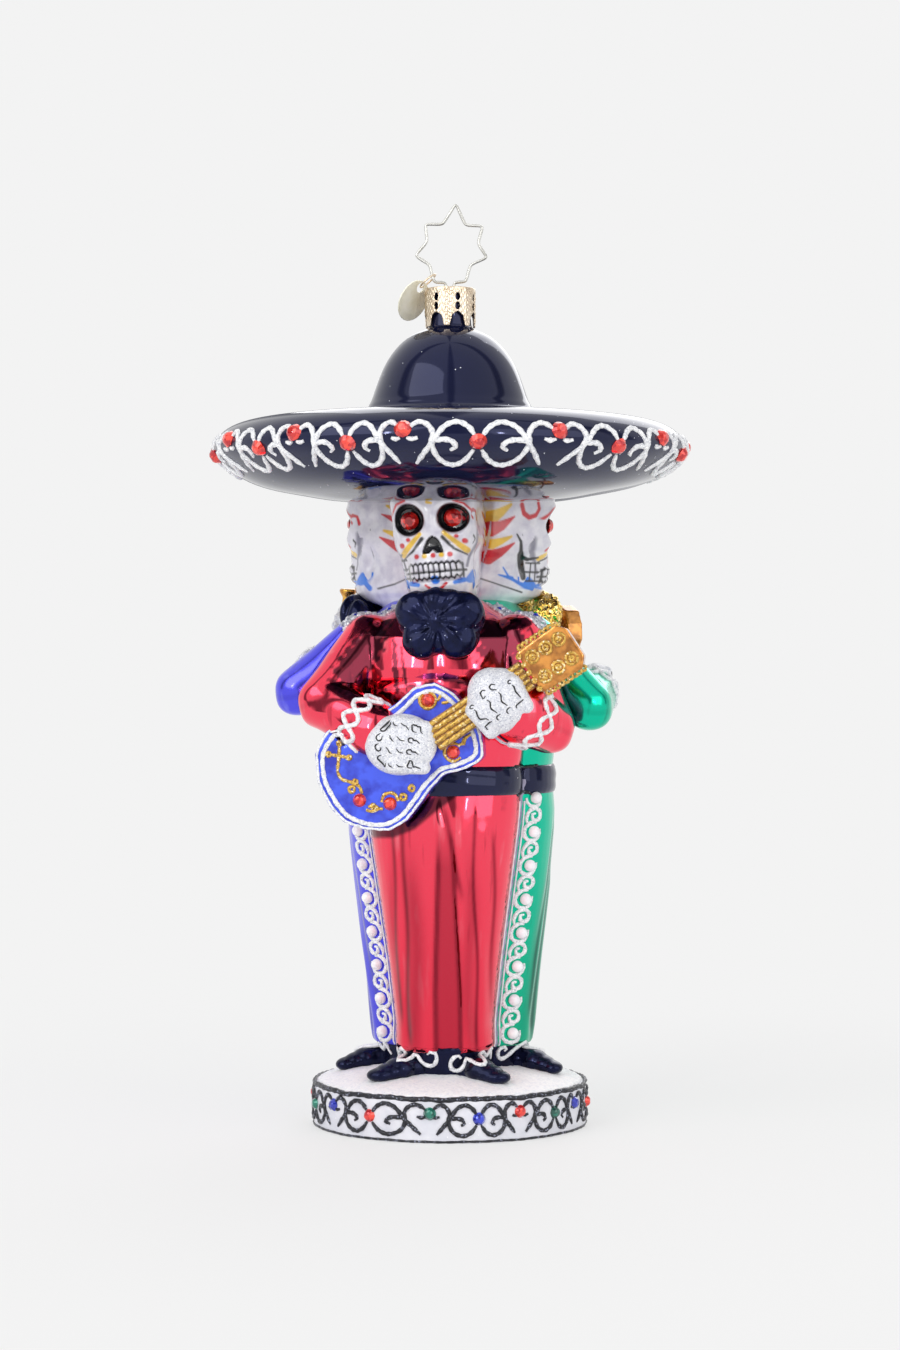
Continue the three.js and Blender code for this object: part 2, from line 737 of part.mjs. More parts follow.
// A player: the clothes and bones first, then each later piece is cut back from what it meets.
function player(role, facing) {
  const group = new THREE.Group();
  group.rotation.z = rad(facing);
  const add = (name, solid, slot) => group.add(piece(`${role}_player_${name}`, solid, slot));
  add("trousers", makeTrousers(), cloth[role]);
  add("sash", makeSash(), "sash_black");
  add("jacket", makeJacket(), cloth[role]);
  add("skull", makeSkull(), "skull_white");
  let bow = makeBow();
  const reach = arms[role];
  const grownSleeves = Object.entries(sides).map(([hand, side]) =>
    sleeveForm(side, reach[hand], SEAM_GAP),
  );
  const clothes = [jacketForm(SEAM_GAP), sashForm(SEAM_GAP), trouserForm(SEAM_GAP)];
  const inTheWay = [...clothes, skullForm(SEAM_GAP), ...grownSleeves];
  const cutBy = (solid, cutters) => cutters.reduce((left, cutter) => left.subtract(cutter), solid);
  for (const [hand, side] of Object.entries(sides)) {
    add(`${hand}_sleeve`, makeSleeve(side, reach[hand]), cloth[role]);
    add(`${hand}_shoe`, makeShoe(side), "shoe_black");
    add(`${hand}_eye_gem`, makeEyeGem(side), "gem_red");
  }
  const grownInstrument = [];
  for (const [name, form, slot] of instrumentForms[role]) {
    const cutters = [...inTheWay, ...grownInstrument];
    group.add(piece(name, cutBy(form(0), cutters).intersect(wedge), slot));
    grownInstrument.push(form(SEAM_GAP));
  }
  const cutters = [...inTheWay, ...grownInstrument];
  for (const hand of Object.keys(sides)) {
    const palm = cutBy(handForm(reach[hand], 0), cutters).intersect(wedge);
    add(`${hand}_hand`, palm, "bone_white");
    cutters.push(handForm(reach[hand], SEAM_GAP));
  }
  add("bow_tie", cutBy(bow, cutters.slice(inTheWay.length)), bowFinish[role]);
  return group;
}

// Base and sombrero

function makeBase() {
  const inner = BASE_RADIUS - GLASS_WALL;
  return turned(
    [
      [0, 0],
      [BASE_RADIUS - BASE_EDGE_ROUND, 0],
      [BASE_RADIUS, BASE_EDGE_ROUND],
      [BASE_RADIUS, BASE_RIM_HEIGHT - BASE_EDGE_ROUND],
      [BASE_RADIUS - BASE_EDGE_ROUND, BASE_RIM_HEIGHT],
      [BASE_PLATEAU_RADIUS, BASE_TOP_HEIGHT],
      [BASE_THROAT_RADIUS, BASE_TOP_HEIGHT],
      [BASE_THROAT_RADIUS, BASE_TOP_HEIGHT - GLASS_WALL],
      [BASE_PLATEAU_RADIUS, BASE_TOP_HEIGHT - GLASS_WALL],
      [inner, BASE_RIM_HEIGHT - GLASS_WALL - BASE_EDGE_ROUND],
      [inner, GLASS_WALL],
      [0, GLASS_WALL],
    ],
    36,
  );
}

function makeSombrero() {
  const edge = hatUnderside + BRIM_EDGE_HEIGHT;
  const under = hatUnderside;
  const wall = GLASS_WALL;
  const bore = GLASS_NECK_RADIUS - wall;
  const neckTop = capTop - CAP_SHEET - SEAM_GAP;
  return turned(
    [
      [HAT_THROAT_RADIUS, under],
      [BRIM_FLAT_RADIUS, under],
      [BRIM_FLAT_RADIUS + 4.5, under + 1.3],
      [BRIM_RADIUS - 13, under + 3],
      [BRIM_RADIUS - 6.2, under + 4.8],
      [BRIM_RADIUS - 2.6, under + 6.7],
      [BRIM_RADIUS - 0.7, edge - 2.4],
      [BRIM_RADIUS, edge],
      [BRIM_RADIUS - 0.7, edge + 2.4],
      [BRIM_RADIUS - 2.7, edge + 4.6],
      [BRIM_RADIUS - 5.6, brimTop - 0.6],
      [BRIM_RADIUS - 10, brimTop],
      [CROWN_RADIUS + 8, brimTop + CROWN_FLARE * 0.4],
      [CROWN_RADIUS + 2, crownFoot - 0.6],
      [CROWN_RADIUS + 1.4, crownFoot + 0.5],
      [CROWN_RADIUS + 0.2, crownFoot + 1.4],
      [CROWN_RADIUS * 0.97, crownFoot + CROWN_HEIGHT * 0.33],
      [CROWN_RADIUS * 0.9, crownFoot + CROWN_HEIGHT * 0.56],
      [CROWN_RADIUS * 0.78, crownFoot + CROWN_HEIGHT * 0.75],
      [CROWN_RADIUS * 0.6, crownFoot + CROWN_HEIGHT * 0.9],
      [GLASS_NECK_RADIUS + 0.4, crownTop - 0.2],
      [GLASS_NECK_RADIUS, crownTop + 0.6],
      [GLASS_NECK_RADIUS, neckTop],
      [bore, neckTop],
      [bore, crownTop - wall],
      [CROWN_RADIUS * 0.6 - wall, crownFoot + CROWN_HEIGHT * 0.9 - wall],
      [CROWN_RADIUS * 0.9 - wall, crownFoot + CROWN_HEIGHT * 0.56 - wall],
      [CROWN_RADIUS - 0.4 - wall, crownFoot],
      [CROWN_RADIUS + 3, crownFoot - 0.6 - wall * 1.4],
      [BRIM_RADIUS - 10, brimTop - wall],
      [BRIM_RADIUS - 4.2, edge + 3.4],
      [BRIM_RADIUS - wall, edge],
      [BRIM_RADIUS - 4.2, edge - 3.2],
      [BRIM_RADIUS - 13, under + 3 + wall],
      [BRIM_FLAT_RADIUS, under + wall],
      [HAT_THROAT_RADIUS, under + wall],
      [HAT_THROAT_RADIUS, under],
    ],
    36,
  );
}

// Cap, hanger, ring and tag

const capSkirtFoot = crownTop + 0.5;

function makeCap() {
  const inner = CAP_RADIUS - CAP_SHEET;
  let cap = turned(
    [
      [CAP_HOLE_RADIUS, capTop - CAP_SHEET],
      [inner, capTop - CAP_SHEET],
      [inner, capSkirtFoot],
      [CAP_RADIUS, capSkirtFoot],
      [CAP_RADIUS, capTop],
      [CAP_HOLE_RADIUS, capTop],
      [CAP_HOLE_RADIUS, capTop - CAP_SHEET],
    ],
    CAP_PETALS * 5,
  );
  const punch = (halfWidth, halfHeight, z, turn) => {
    const tool = new THREE.CylinderGeometry(1, 1, CAP_RADIUS, 8);
    tool.scale(halfWidth, 1, halfHeight).translate(0, -CAP_RADIUS * 0.9, z).rotateZ(rad(turn));
    return solidOf(tool);
  };
  const lowWindow = capSkirtFoot + CAP_ARCH_HEIGHT + CAP_WINDOW_HALF_HEIGHT + 0.25;
  const highWindow = lowWindow + 2 * CAP_WINDOW_HALF_HEIGHT + 0.25;
  for (let i = 0; i < CAP_PETALS; i++) {
    const turn = (i + 0.5) * (360 / CAP_PETALS);
    cap = cap
      .subtract(punch(CAP_ARCH_HALF_WIDTH, CAP_ARCH_HEIGHT, capSkirtFoot, turn))
      .subtract(punch(CAP_WINDOW_HALF_WIDTH, CAP_WINDOW_HALF_HEIGHT, lowWindow, turn))
      .subtract(punch(CAP_WINDOW_HALF_WIDTH, CAP_WINDOW_HALF_HEIGHT, highWindow, turn));
  }
  return cap;
}

const starFoot = capTop + STAR_RISE + WIRE_RADIUS;
const starCentre = starFoot + STAR_RADIUS * Math.cos(Math.PI / STAR_POINTS);

function starCorner(index) {
  const point = index % 2 === 0;
  const radius = index === 0 ? STAR_TOP_RADIUS : point ? STAR_RADIUS : STAR_NOTCH_RADIUS;
  const a = Math.PI / 2 + (index * Math.PI) / STAR_POINTS;
  return new THREE.Vector3(radius * Math.cos(a), 0, starCentre + radius * Math.sin(a));
}

// The wire's route: up one leg out of the glass neck, round the star and down the other leg.
function hangerRoute() {
  const legFoot = capTop - LEG_LENGTH;
  const leg = [
    [-LEG_BOW * 0.8, legFoot],
    [-LEG_BOW, legFoot + LEG_LENGTH * 0.3],
    [-LEG_SPACING, capTop - 3],
    [-LEG_SPACING, starFoot],
  ].map(([x, z]) => new THREE.Vector3(x, 0, z));
  const mirrored = leg.map((p) => new THREE.Vector3(-p.x, 0, p.z)).reverse();
  const corners = [];
  for (let i = STAR_POINTS - 1; i > -STAR_POINTS; i--) corners.push(starCorner(-i));
  const star = corners.reverse().filter((p) => p.z >= starFoot - 0.01);
  return [...leg, ...star, ...mirrored];
}

// A planar wire in XZ with each corner rounded by a short curve.
function bentWire(route) {
  const samples = [route[0]];
  for (let i = 1; i + 1 < route.length; i++) {
    const corner = route[i];
    const toPrevious = new THREE.Vector3().subVectors(route[i - 1], corner);
    const toNext = new THREE.Vector3().subVectors(route[i + 1], corner);
    const trim = Math.min(STAR_CORNER, toPrevious.length() * 0.45, toNext.length() * 0.45);
    const curve = new THREE.QuadraticBezierCurve3(
      corner.clone().addScaledVector(toPrevious.normalize(), trim),
      corner,
      corner.clone().addScaledVector(toNext.normalize(), trim),
    );
    samples.push(...curve.getPoints(2));
  }
  samples.push(route.at(-1));
  const sideways = new THREE.Vector3(0, 1, 0);
  const rings = samples.map((p, i) => {
    const before = samples[Math.max(i - 1, 0)];
    const after = samples[Math.min(i + 1, samples.length - 1)];
    const along = new THREE.Vector3().subVectors(after, before).normalize();
    const across = new THREE.Vector3().crossVectors(along, sideways);
    return Array.from({ length: 7 }, (_, k) => {
      const a = (k / 7) * 2 * Math.PI;
      return p
        .clone()
        .addScaledVector(across, WIRE_RADIUS * Math.cos(a))
        .addScaledVector(sideways, -WIRE_RADIUS * Math.sin(a));
    });
  });
  return solidOf(loft(rings));
}

// Where the ring hooks the wire: on the star's lower left side, just above its corner.
function ringHook() {
  const low = starCorner(STAR_POINTS - 1);
  const high = starCorner(STAR_POINTS - 2);
  const share = RING_RISE / (high.z - low.z);
  return new THREE.Vector3().lerpVectors(low, high, share);
}

const ringSlope = new THREE.Vector3(-Math.cos(rad(RING_TILT)), 0, -Math.sin(rad(RING_TILT)));
const ringCentre = ringHook().addScaledVector(ringSlope, RING_RADIUS - RING_PLAY);
const tagHook = ringCentre.clone().addScaledVector(ringSlope, RING_RADIUS);

function ringMesh() {
  const ring = piece(
    "jump_ring",
    solidOf(new THREE.TorusGeometry(RING_RADIUS, RING_WIRE_RADIUS, 6, 16)),
    "cap_gold",
  );
  ring.position.copy(ringCentre);
  ring.rotation.y = -rad(RING_TILT);
  return ring;
}

function tagMesh() {
  const middle = TAG_HOLE_INSET - TAG_RADIUS;
  const disc = new THREE.Shape().absarc(0, middle, TAG_RADIUS, 0, 2 * Math.PI);
  disc.holes.push(new THREE.Path().absarc(0, 0, TAG_HOLE_RADIUS, 0, 2 * Math.PI, true));
  const plate = new THREE.ExtrudeGeometry(disc, {
    depth: TAG_THICKNESS,
    bevelEnabled: false,
    curveSegments: 14,
  });
  plate.translate(0, 0, -TAG_THICKNESS / 2).rotateX(Math.PI / 2).rotateZ(rad(TAG_TWIST));
  const tag = piece("round_tag", solidOf(plate), "tag_gold");
  tag.position.copy(tagHook);
  tag.rotation.y = rad(TAG_LEAN);
  return tag;
}

const ornament = new THREE.Group();
ornament.add(piece("round_base", makeBase(), "base_white"));
ornament.add(piece("sombrero", makeSombrero(), "sombrero_black"));
ornament.add(player("guitar", 0));
ornament.add(player("violin", 120));
ornament.add(player("trumpet", -120));
ornament.add(piece("crown_cap", makeCap(), "cap_gold"));
ornament.add(piece("star_hanger", bentWire(hangerRoute()), "wire_silver"));
ornament.add(ringMesh());
ornament.add(tagMesh());

export default ornament;
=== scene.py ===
# %% [markdown]
# # A blown-glass ornament: three skeleton musicians under one sombrero
# The real ornament is one bubble of glass, blown into a mould, silvered inside, and painted by hand
# with clear coloured lacquers, opaque paints and glitter. The CAD frame gives every form its place.
# This notebook dresses that frame, one form and one finish at a time, and it starts by loading it.

# %% Load the frame
import math

import bpy
import numpy as np
from mathutils import Matrix, Vector
from mathutils.bvhtree import BVHTree


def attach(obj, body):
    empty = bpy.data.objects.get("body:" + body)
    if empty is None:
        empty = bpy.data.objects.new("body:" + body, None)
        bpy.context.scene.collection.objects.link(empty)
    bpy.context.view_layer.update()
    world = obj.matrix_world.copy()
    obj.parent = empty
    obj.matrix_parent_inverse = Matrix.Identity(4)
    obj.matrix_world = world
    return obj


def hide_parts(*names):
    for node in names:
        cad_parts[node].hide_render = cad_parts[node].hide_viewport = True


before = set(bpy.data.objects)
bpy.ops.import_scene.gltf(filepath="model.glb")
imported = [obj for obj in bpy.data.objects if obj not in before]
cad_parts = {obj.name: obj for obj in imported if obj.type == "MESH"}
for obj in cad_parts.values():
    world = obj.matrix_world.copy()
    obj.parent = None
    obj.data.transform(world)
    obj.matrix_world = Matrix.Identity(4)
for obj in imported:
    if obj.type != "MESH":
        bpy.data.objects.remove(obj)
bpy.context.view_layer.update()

MM = 0.001

# %% [markdown]
# ## The camera
# The photograph was taken from mid-height, about 600 mm away and a little to the right of where the
# guitar player looks. A long lens keeps the brim from swelling. The small downward shift puts the
# horizon where the photograph has it, without tilting the camera.

# %% Place the camera
VIEW_TURN = math.radians(7.5)
VIEW_DISTANCE = 600
VIEW_HEIGHT = 92.4
IMAGE_HEIGHT_PX = 1350
HORIZON_ABOVE_MIDDLE_PX = 15
SENSOR_HEIGHT_MM = 36
FOCAL_LENGTH_MM = 80

scene = bpy.context.scene
scene.view_settings.view_transform = "Standard"
lens = bpy.data.cameras.new("camera")
lens.sensor_fit = "VERTICAL"
lens.sensor_height = SENSOR_HEIGHT_MM
lens.lens = FOCAL_LENGTH_MM
lens.shift_y = -HORIZON_ABOVE_MIDDLE_PX / IMAGE_HEIGHT_PX
camera = bpy.data.objects.new("camera", lens)
scene.collection.objects.link(camera)
camera.location = (
    math.sin(VIEW_TURN) * VIEW_DISTANCE * MM,
    -math.cos(VIEW_TURN) * VIEW_DISTANCE * MM,
    VIEW_HEIGHT * MM,
)
camera.rotation_euler = (math.pi / 2, 0, VIEW_TURN)
scene.camera = camera
print("camera at", tuple(round(c, 3) for c in camera.location))

# %% [markdown]
# ## One helper for colours and one for nodes
# Colours are written as sRGB hex, as a colour picker shows them, but Blender mixes light in linear
# values, so one function converts them. Another adds a shader node with its settings and its links,
# which keeps each material below down to the few lines that say what it is.

# %% Colour and node helpers
def linear(hex_colour):
    parts = [int(hex_colour[k : k + 2], 16) / 255 for k in (1, 3, 5)]
    return tuple(p / 12.92 if p <= 0.04045 else ((p + 0.055) / 1.055) ** 2.4 for p in parts) + (1,)


def add(tree, kind, inputs=None, stops=None, **settings):
    """Adds a node. An input is a value or another node's output. Stops are a ramp's places and colours."""
    made = tree.nodes.new(kind)
    for name, value in settings.items():
        setattr(made, name, value)
    if stops:
        elements = made.color_ramp.elements
        elements[0].position = stops[0][0]
        elements[1].position = stops[-1][0]
        for place, _ in stops[1:-1]:
            elements.new(place)
        for element, (_, colour) in zip(elements, stops):
            element.color = linear(colour)
    for socket, value in (inputs or {}).items():
        if isinstance(value, bpy.types.NodeSocket):
            tree.links.new(value, made.inputs[socket])
        else:
            made.inputs[socket].default_value = value
    return made


def finish(name, **sockets):
    """A new material with values on its shader, and the coordinates that its patterns are laid out by.

    An underscore stands for a space in a socket's name."""
    made = bpy.data.materials.new(name)
    made.use_nodes = True
    shader = made.node_tree.nodes["Principled BSDF"]
    for socket, value in sockets.items():
        shader.inputs[socket.replace("_", " ")].default_value = value
    place = add(made.node_tree, "ShaderNodeTexCoord").outputs["Object"]
    return made, made.node_tree, shader, place


def per_mm(size):
    """A pattern's scale on Object coordinates, which are metres, for features of that many millimetres."""
    return 1 / (size * MM)


print("pure red in linear light:", tuple(round(c, 3) for c in linear("#E8404F")))

# %% [markdown]
# ## Floor, world and lamps
# Silvered glass shows what stands around it, so the studio is as much a part of its look as its
# lacquer. A white tent gives even light. What a mirror sees is white with a few narrow dark gaps
# between the panels of the tent, which draw the dark streaks that make it read as a mirror. The lens
# sees the same plain pale grey everywhere, and the floor keeps only a soft shadow.

# %% Build the studio
BACKDROP = "#F3F3F3"
TENT_GAPS = 4
FIRST_GAP_TURN = 0.9
TENT_LIGHT = 0.6
FLOOR_SIZE, FLOOR_DROP = 8, 0.00005
# The paper glows less near the ornament, so that its shadow shows: distances in metres, then a share.
GLOW_FROM, GLOW_TO, GLOW_NEAR = 0.05, 0.3, 0.64
LAMP_AIM = (0, 0, 0.09)

bpy.ops.mesh.primitive_plane_add(size=FLOOR_SIZE, location=(0, 0, -FLOOR_DROP))
floor = bpy.context.object
floor.name = "floor"
paper = bpy.data.materials.new("seamless_paper")
paper.use_nodes = True
tree = paper.node_tree
shader = tree.nodes["Principled BSDF"]
shader.inputs["Base Color"].default_value = linear("#F1F1F1")
shader.inputs["Roughness"].default_value = 0.9
path = add(tree, "ShaderNodeLightPath")
seen = add(
    tree, "ShaderNodeMath", {0: path.outputs["Is Camera Ray"], 1: path.outputs["Is Glossy Ray"]},
    operation="MAXIMUM",
)
seen = add(
    tree, "ShaderNodeMath", {0: seen.outputs[0], 1: path.outputs["Is Transmission Ray"]},
    operation="MAXIMUM",
)
ground = add(tree, "ShaderNodeTexCoord").outputs["Object"]
away = add(tree, "ShaderNodeVectorMath", {0: ground}, operation="LENGTH")
fade = add(
    tree, "ShaderNodeMapRange", {0: away.outputs["Value"], 1: GLOW_FROM, 2: GLOW_TO, 3: GLOW_NEAR, 4: 1.0},
    interpolation_type="SMOOTHSTEP",
)
share = add(tree, "ShaderNodeMath", {0: seen.outputs[0], 1: fade.outputs[0]}, operation="MULTIPLY")
glow = add(tree, "ShaderNodeEmission", {"Color": linear(BACKDROP), "Strength": 1})
both = add(tree, "ShaderNodeMixShader", {0: share.outputs[0], 1: shader.outputs[0], 2: glow.outputs[0]})
tree.links.new(both.outputs[0], tree.nodes["Material Output"].inputs["Surface"])
floor.data.materials.append(paper)

world = bpy.data.worlds.new("white_tent")
scene.world = world
world.use_nodes = True
tree = world.node_tree
tent = tree.nodes["Background"]
tent.inputs["Color"].default_value = linear("#FFFFFF")
tent.inputs["Strength"].default_value = TENT_LIGHT
way = add(tree, "ShaderNodeTexCoord")
sides = add(tree, "ShaderNodeSeparateXYZ", {0: way.outputs["Generated"]})
angle = add(tree, "ShaderNodeMath", {0: sides.outputs["Y"], 1: sides.outputs["X"]}, operation="ARCTAN2")
turns = add(
    tree, "ShaderNodeMath", {0: angle.outputs[0], 1: float(TENT_GAPS), 2: FIRST_GAP_TURN},
    operation="MULTIPLY_ADD",
)
wave = add(tree, "ShaderNodeMath", {0: turns.outputs[0]}, operation="SINE")
gaps = add(
    tree, "ShaderNodeValToRGB", {0: wave.outputs[0]},
    stops=[(0, BACKDROP), (0.8, BACKDROP), (0.97, "#77787F")],
)
mirrored = add(tree, "ShaderNodeBackground", {"Color": gaps.outputs[0], "Strength": 1})
plain = add(tree, "ShaderNodeBackground", {"Color": linear(BACKDROP), "Strength": 1})
path = add(tree, "ShaderNodeLightPath")
first = add(
    tree, "ShaderNodeMixShader",
    {0: path.outputs["Is Glossy Ray"], 1: tent.outputs[0], 2: mirrored.outputs[0]},
)
clear = add(
    tree, "ShaderNodeMath", {0: path.outputs["Is Camera Ray"], 1: path.outputs["Is Transmission Ray"]},
    operation="MAXIMUM",
)
last = add(tree, "ShaderNodeMixShader", {0: clear.outputs[0], 1: first.outputs[0], 2: plain.outputs[0]})
tree.links.new(last.outputs[0], tree.nodes["World Output"].inputs["Surface"])

LAMPS = {
    # where it stands, its width and height, and its power
    "key": ((-0.55, -0.75, 0.62), (0.9, 0.9), 4.6),
    "fill": ((0.7, -0.6, 0.35), (0.8, 0.8), 2.2),
    "back": ((0.1, 0.9, 0.7), (0.8, 0.8), 3.6),
    "left_glint": ((-0.3, -0.75, 0.3), (0.03, 0.2), 0.55),
    "right_glint": ((0.42, -0.7, 0.24), (0.03, 0.16), 0.4),
}
for name, (place, size, power) in LAMPS.items():
    light = bpy.data.lights.new(name, "AREA")
    light.shape = "RECTANGLE"
    light.size, light.size_y = size
    light.energy = power
    lamp = bpy.data.objects.new(name, light)
    scene.collection.objects.link(lamp)
    lamp.location = place
    aim = Vector(LAMP_AIM) - Vector(place)
    lamp.rotation_euler = aim.to_track_quat("-Z", "Y").to_euler()
print("lamps:", sorted(LAMPS))

# %% [markdown]
# ## Lacquers and paints
# Three families cover the glass. Clear lacquer over silvering is a tinted mirror, so it is a metal
# under a coat. Where the lacquer ran thick in a fold it is darker, and painted shade darkens the
# folds too, both kept in one attribute on the mesh. Painted dark reflections are kept in another.
# Opaque black and white are ordinary paint under a gloss varnish. Glitter is a bed of tiny flakes,
# each turned its own way, so it is drawn as cells that each have their own tone and tilt.

# %% Silvered glass under clear coloured lacquer
# Heights in metres over which the lacquer turns darker towards the foot, and how much darker it is there.
LOW_TONE_FOOT, LOW_TONE_TOP, LOW_TONE_SHARE = 0.016, 0.06, 0.8
# The colour of painted dark reflections, on the front jacket and the trousers under the guitar.
PAINTED_REFLECTION_COLOUR = "#1C0A20"


def lacquered_mirror(name, colour, low_colour, thick_and_shade_colour, pale_colour, roughness):
    """Darker towards the foot, and where painted shade, pooled lacquer and painted reflections are marked.
    """
    made, tree, shader, place = finish(
        name, Metallic=1.0, Roughness=roughness, Coat_Weight=0.3, Coat_Roughness=0.04,
    )
    runs = add(tree, "ShaderNodeMapping", {0: place, "Scale": (1, 1, 0.12)})
    streaks = add(tree, "ShaderNodeTexNoise", {0: runs.outputs[0], "Scale": per_mm(2.2), "Detail": 3.0})
    tone = add(
        tree, "ShaderNodeValToRGB", {0: streaks.outputs[0]},
        stops=[(0.12, thick_and_shade_colour), (0.36, colour), (0.62, colour), (0.88, pale_colour)],
    )
    # The lacquer is darker towards the foot.
    height = add(tree, "ShaderNodeSeparateXYZ", {0: place}).outputs["Z"]
    low_tone = add(
        tree, "ShaderNodeMapRange", {0: height, 1: LOW_TONE_FOOT, 2: LOW_TONE_TOP, 3: LOW_TONE_SHARE, 4: 0.0},
    )
    lower = add(
        tree, "ShaderNodeMix", {0: low_tone.outputs[0], 6: tone.outputs[0], 7: linear(low_colour)},
        data_type="RGBA",
    )
    # Painted shade in the creases and bands, with pooled lacquer, mixes in the thick colour.
    pool = add(tree, "ShaderNodeAttribute", attribute_name="pool")
    deep = add(
        tree, "ShaderNodeMix", {0: pool.outputs["Fac"], 6: lower.outputs[2], 7: linear(thick_and_shade_colour)},
        data_type="RGBA",
    )
    # Painted dark reflections, marked on the mesh, mix in their own colour.
    mirrored = add(tree, "ShaderNodeAttribute", attribute_name="dark")
    dark = add(
        tree, "ShaderNodeMix", {0: mirrored.outputs["Fac"], 6: deep.outputs[2], 7: linear(PAINTED_REFLECTION_COLOUR)},
        data_type="RGBA",
    )
    tree.links.new(dark.outputs[2], shader.inputs["Base Color"])
    waves = add(tree, "ShaderNodeTexNoise", {0: place, "Scale": per_mm(5.5), "Detail": 1.5})
    bump = add(tree, "ShaderNodeBump", {"Height": waves.outputs[0], "Strength": 0.4, "Distance": 0.0004})
    tree.links.new(bump.outputs[0], shader.inputs["Normal"])
    return made


# A tinted mirror looks saturated where it shows the tent and deep where it shows the hat.
RED = lacquered_mirror("red_lacquer_on_silvered_glass", "#FF4A62", "#F03049", "#8C0E28", "#FF8492", 0.1)
BLUE = lacquered_mirror("blue_lacquer_on_silvered_glass", "#5A58F2", "#4543E0", "#1F1A86", "#8C90FF", 0.22)
GREEN = lacquered_mirror("green_lacquer_on_silvered_glass", "#00C8A2", "#00AC80", "#045A48", "#14DCB8", 0.2)
CLOTH = {"red": RED, "blue": BLUE, "green": GREEN}
print("mirrors:", [m.name for m in CLOTH.values()])


# %% Opaque gloss paints
# Stray glitter: how far apart the specks are, in millimetres, and a speck's share of that.
SPECK_SPACING, SPECK_SIZE = 1.9, 0.06


def gloss_paint(name, colour, shade, size, roughness, dust=None, shine=0.5, glow="#FFFFFF", coat=0.0):
    """Opaque paint whose tone drifts a little. Dust is stray glitter, and glow tints what it mirrors."""
    made, tree, shader, place = finish(
        name, Roughness=roughness, IOR=1.5, Specular_IOR_Level=shine, Specular_Tint=linear(glow),
        Coat_Weight=coat,
    )
    drift = add(tree, "ShaderNodeTexNoise", {0: place, "Scale": per_mm(size), "Detail": 3.0})
    tone = add(tree, "ShaderNodeValToRGB", {0: drift.outputs[0]}, stops=[(0.3, shade), (0.7, colour)])
    colour_out = tone.outputs[0]
    if dust:
        cells = add(tree, "ShaderNodeTexVoronoi", {0: place, "Scale": per_mm(SPECK_SPACING)})
        speck = add(
            tree, "ShaderNodeMath", {0: cells.outputs["Distance"], 1: SPECK_SIZE}, operation="LESS_THAN",
        )
        mixed = add(
            tree, "ShaderNodeMix", {0: speck.outputs[0], 6: colour_out, 7: linear(dust)}, data_type="RGBA",
        )
        colour_out = mixed.outputs[2]
    tree.links.new(colour_out, shader.inputs["Base Color"])
    bump = add(tree, "ShaderNodeBump", {"Height": drift.outputs[0], "Strength": 0.25, "Distance": 0.0003})
    tree.links.new(bump.outputs[0], shader.inputs["Normal"])
    return made


HAT_BLACK = gloss_paint(
    "black_enamel_with_glitter_dust", "#181B36", "#11142C", 14, 0.08, dust="#E9ECF2", shine=0.4,
    glow="#B8C0FF", coat=0.2,
)
SHOE_BLACK = gloss_paint("black_enamel", "#11142E", "#090A14", 3, 0.12, shine=0.33, glow="#AEB8FF")
LINE_BLACK = gloss_paint("black_liner_paint", "#1A1A1F", "#0C0C0F", 1, 0.3)
PAINT_WHITE = gloss_paint("white_liner_paint", "#F4F3F6", "#DCDBE4", 1.5, 0.35)
BORDER_GREY = gloss_paint("silver_lilac_border_paint", "#A9A6BE", "#7E7B98", 3, 0.25)
PEARL = gloss_paint("pearl_white_bead", "#FFFFFF", "#ECEAF2", 2, 0.18)
print("paints made:", HAT_BLACK.name, "and others")


# %% Glitter in glue
def glitter(name, dark, middle, light, grain, metallic=0.0, roughness=0.35):
    """Flakes of about grain millimetres. Real flakes are finer, and are drawn this coarse to show."""
    made, tree, shader, place = finish(name, Metallic=metallic, Roughness=roughness)
    flakes = add(tree, "ShaderNodeTexVoronoi", {0: place, "Scale": per_mm(grain)})
    pick = add(tree, "ShaderNodeSeparateColor", {0: flakes.outputs["Color"]})
    tone = add(
        tree, "ShaderNodeValToRGB", {0: pick.outputs[0]},
        stops=[(0, dark), (0.4, middle), (0.86, middle), (0.97, light)],
    )
    tree.links.new(tone.outputs[0], shader.inputs["Base Color"])
    bump = add(
        tree, "ShaderNodeBump", {"Height": pick.outputs[1], "Strength": 0.7, "Distance": grain * MM * 0.5},
    )
    tree.links.new(bump.outputs[0], shader.inputs["Normal"])
    return made


WHITE_GLITTER = glitter("white_glitter_in_glue", "#C9CBD4", "#F3F4F6", "#FFFFFF", 0.28)
BLACK_GLITTER = glitter("black_glitter_in_glue", "#08080B", "#1E1F28", "#9094A8", 0.26)
GOLD_GLITTER = glitter("gold_glitter_in_glue", "#8E6424", "#DDB458", "#FFF2C8", 0.3, 0.55, 0.34)
SNOW = glitter("snow_flock_and_glitter", "#EDEFF5", "#FAFAFC", "#FFFFFF", 0.4, 0.0, 0.6)
SILVER_GLITTER = glitter("silver_glitter_in_glue", "#868A9C", "#DCDEE6", "#FFFFFF", 0.32, 0.3, 0.3)
print("glitters:", [m.name for m in (WHITE_GLITTER, BLACK_GLITTER, GOLD_GLITTER, SNOW, SILVER_GLITTER)])

# %% [markdown]
# ## Cut stones
# The stones are small glass cabochons with facets and a foil back, glued on. The foil throws the
# light back out, so each is drawn as a bright, half metallic glass, and its facets do the rest.

# %% Foil-backed cut glass
def cut_stone(name, colour, deep):
    made, tree, shader, place = finish(
        name, Metallic=0.35, Roughness=0.06, Coat_Weight=1.0, Coat_Roughness=0.02,
    )
    depth = add(tree, "ShaderNodeTexVoronoi", {0: place, "Scale": per_mm(0.9)})
    pick = add(tree, "ShaderNodeSeparateColor", {0: depth.outputs["Color"]})
    tone = add(tree, "ShaderNodeValToRGB", {0: pick.outputs[0]}, stops=[(0.1, deep), (0.8, colour)])
    tree.links.new(tone.outputs[0], shader.inputs["Base Color"])
    return made


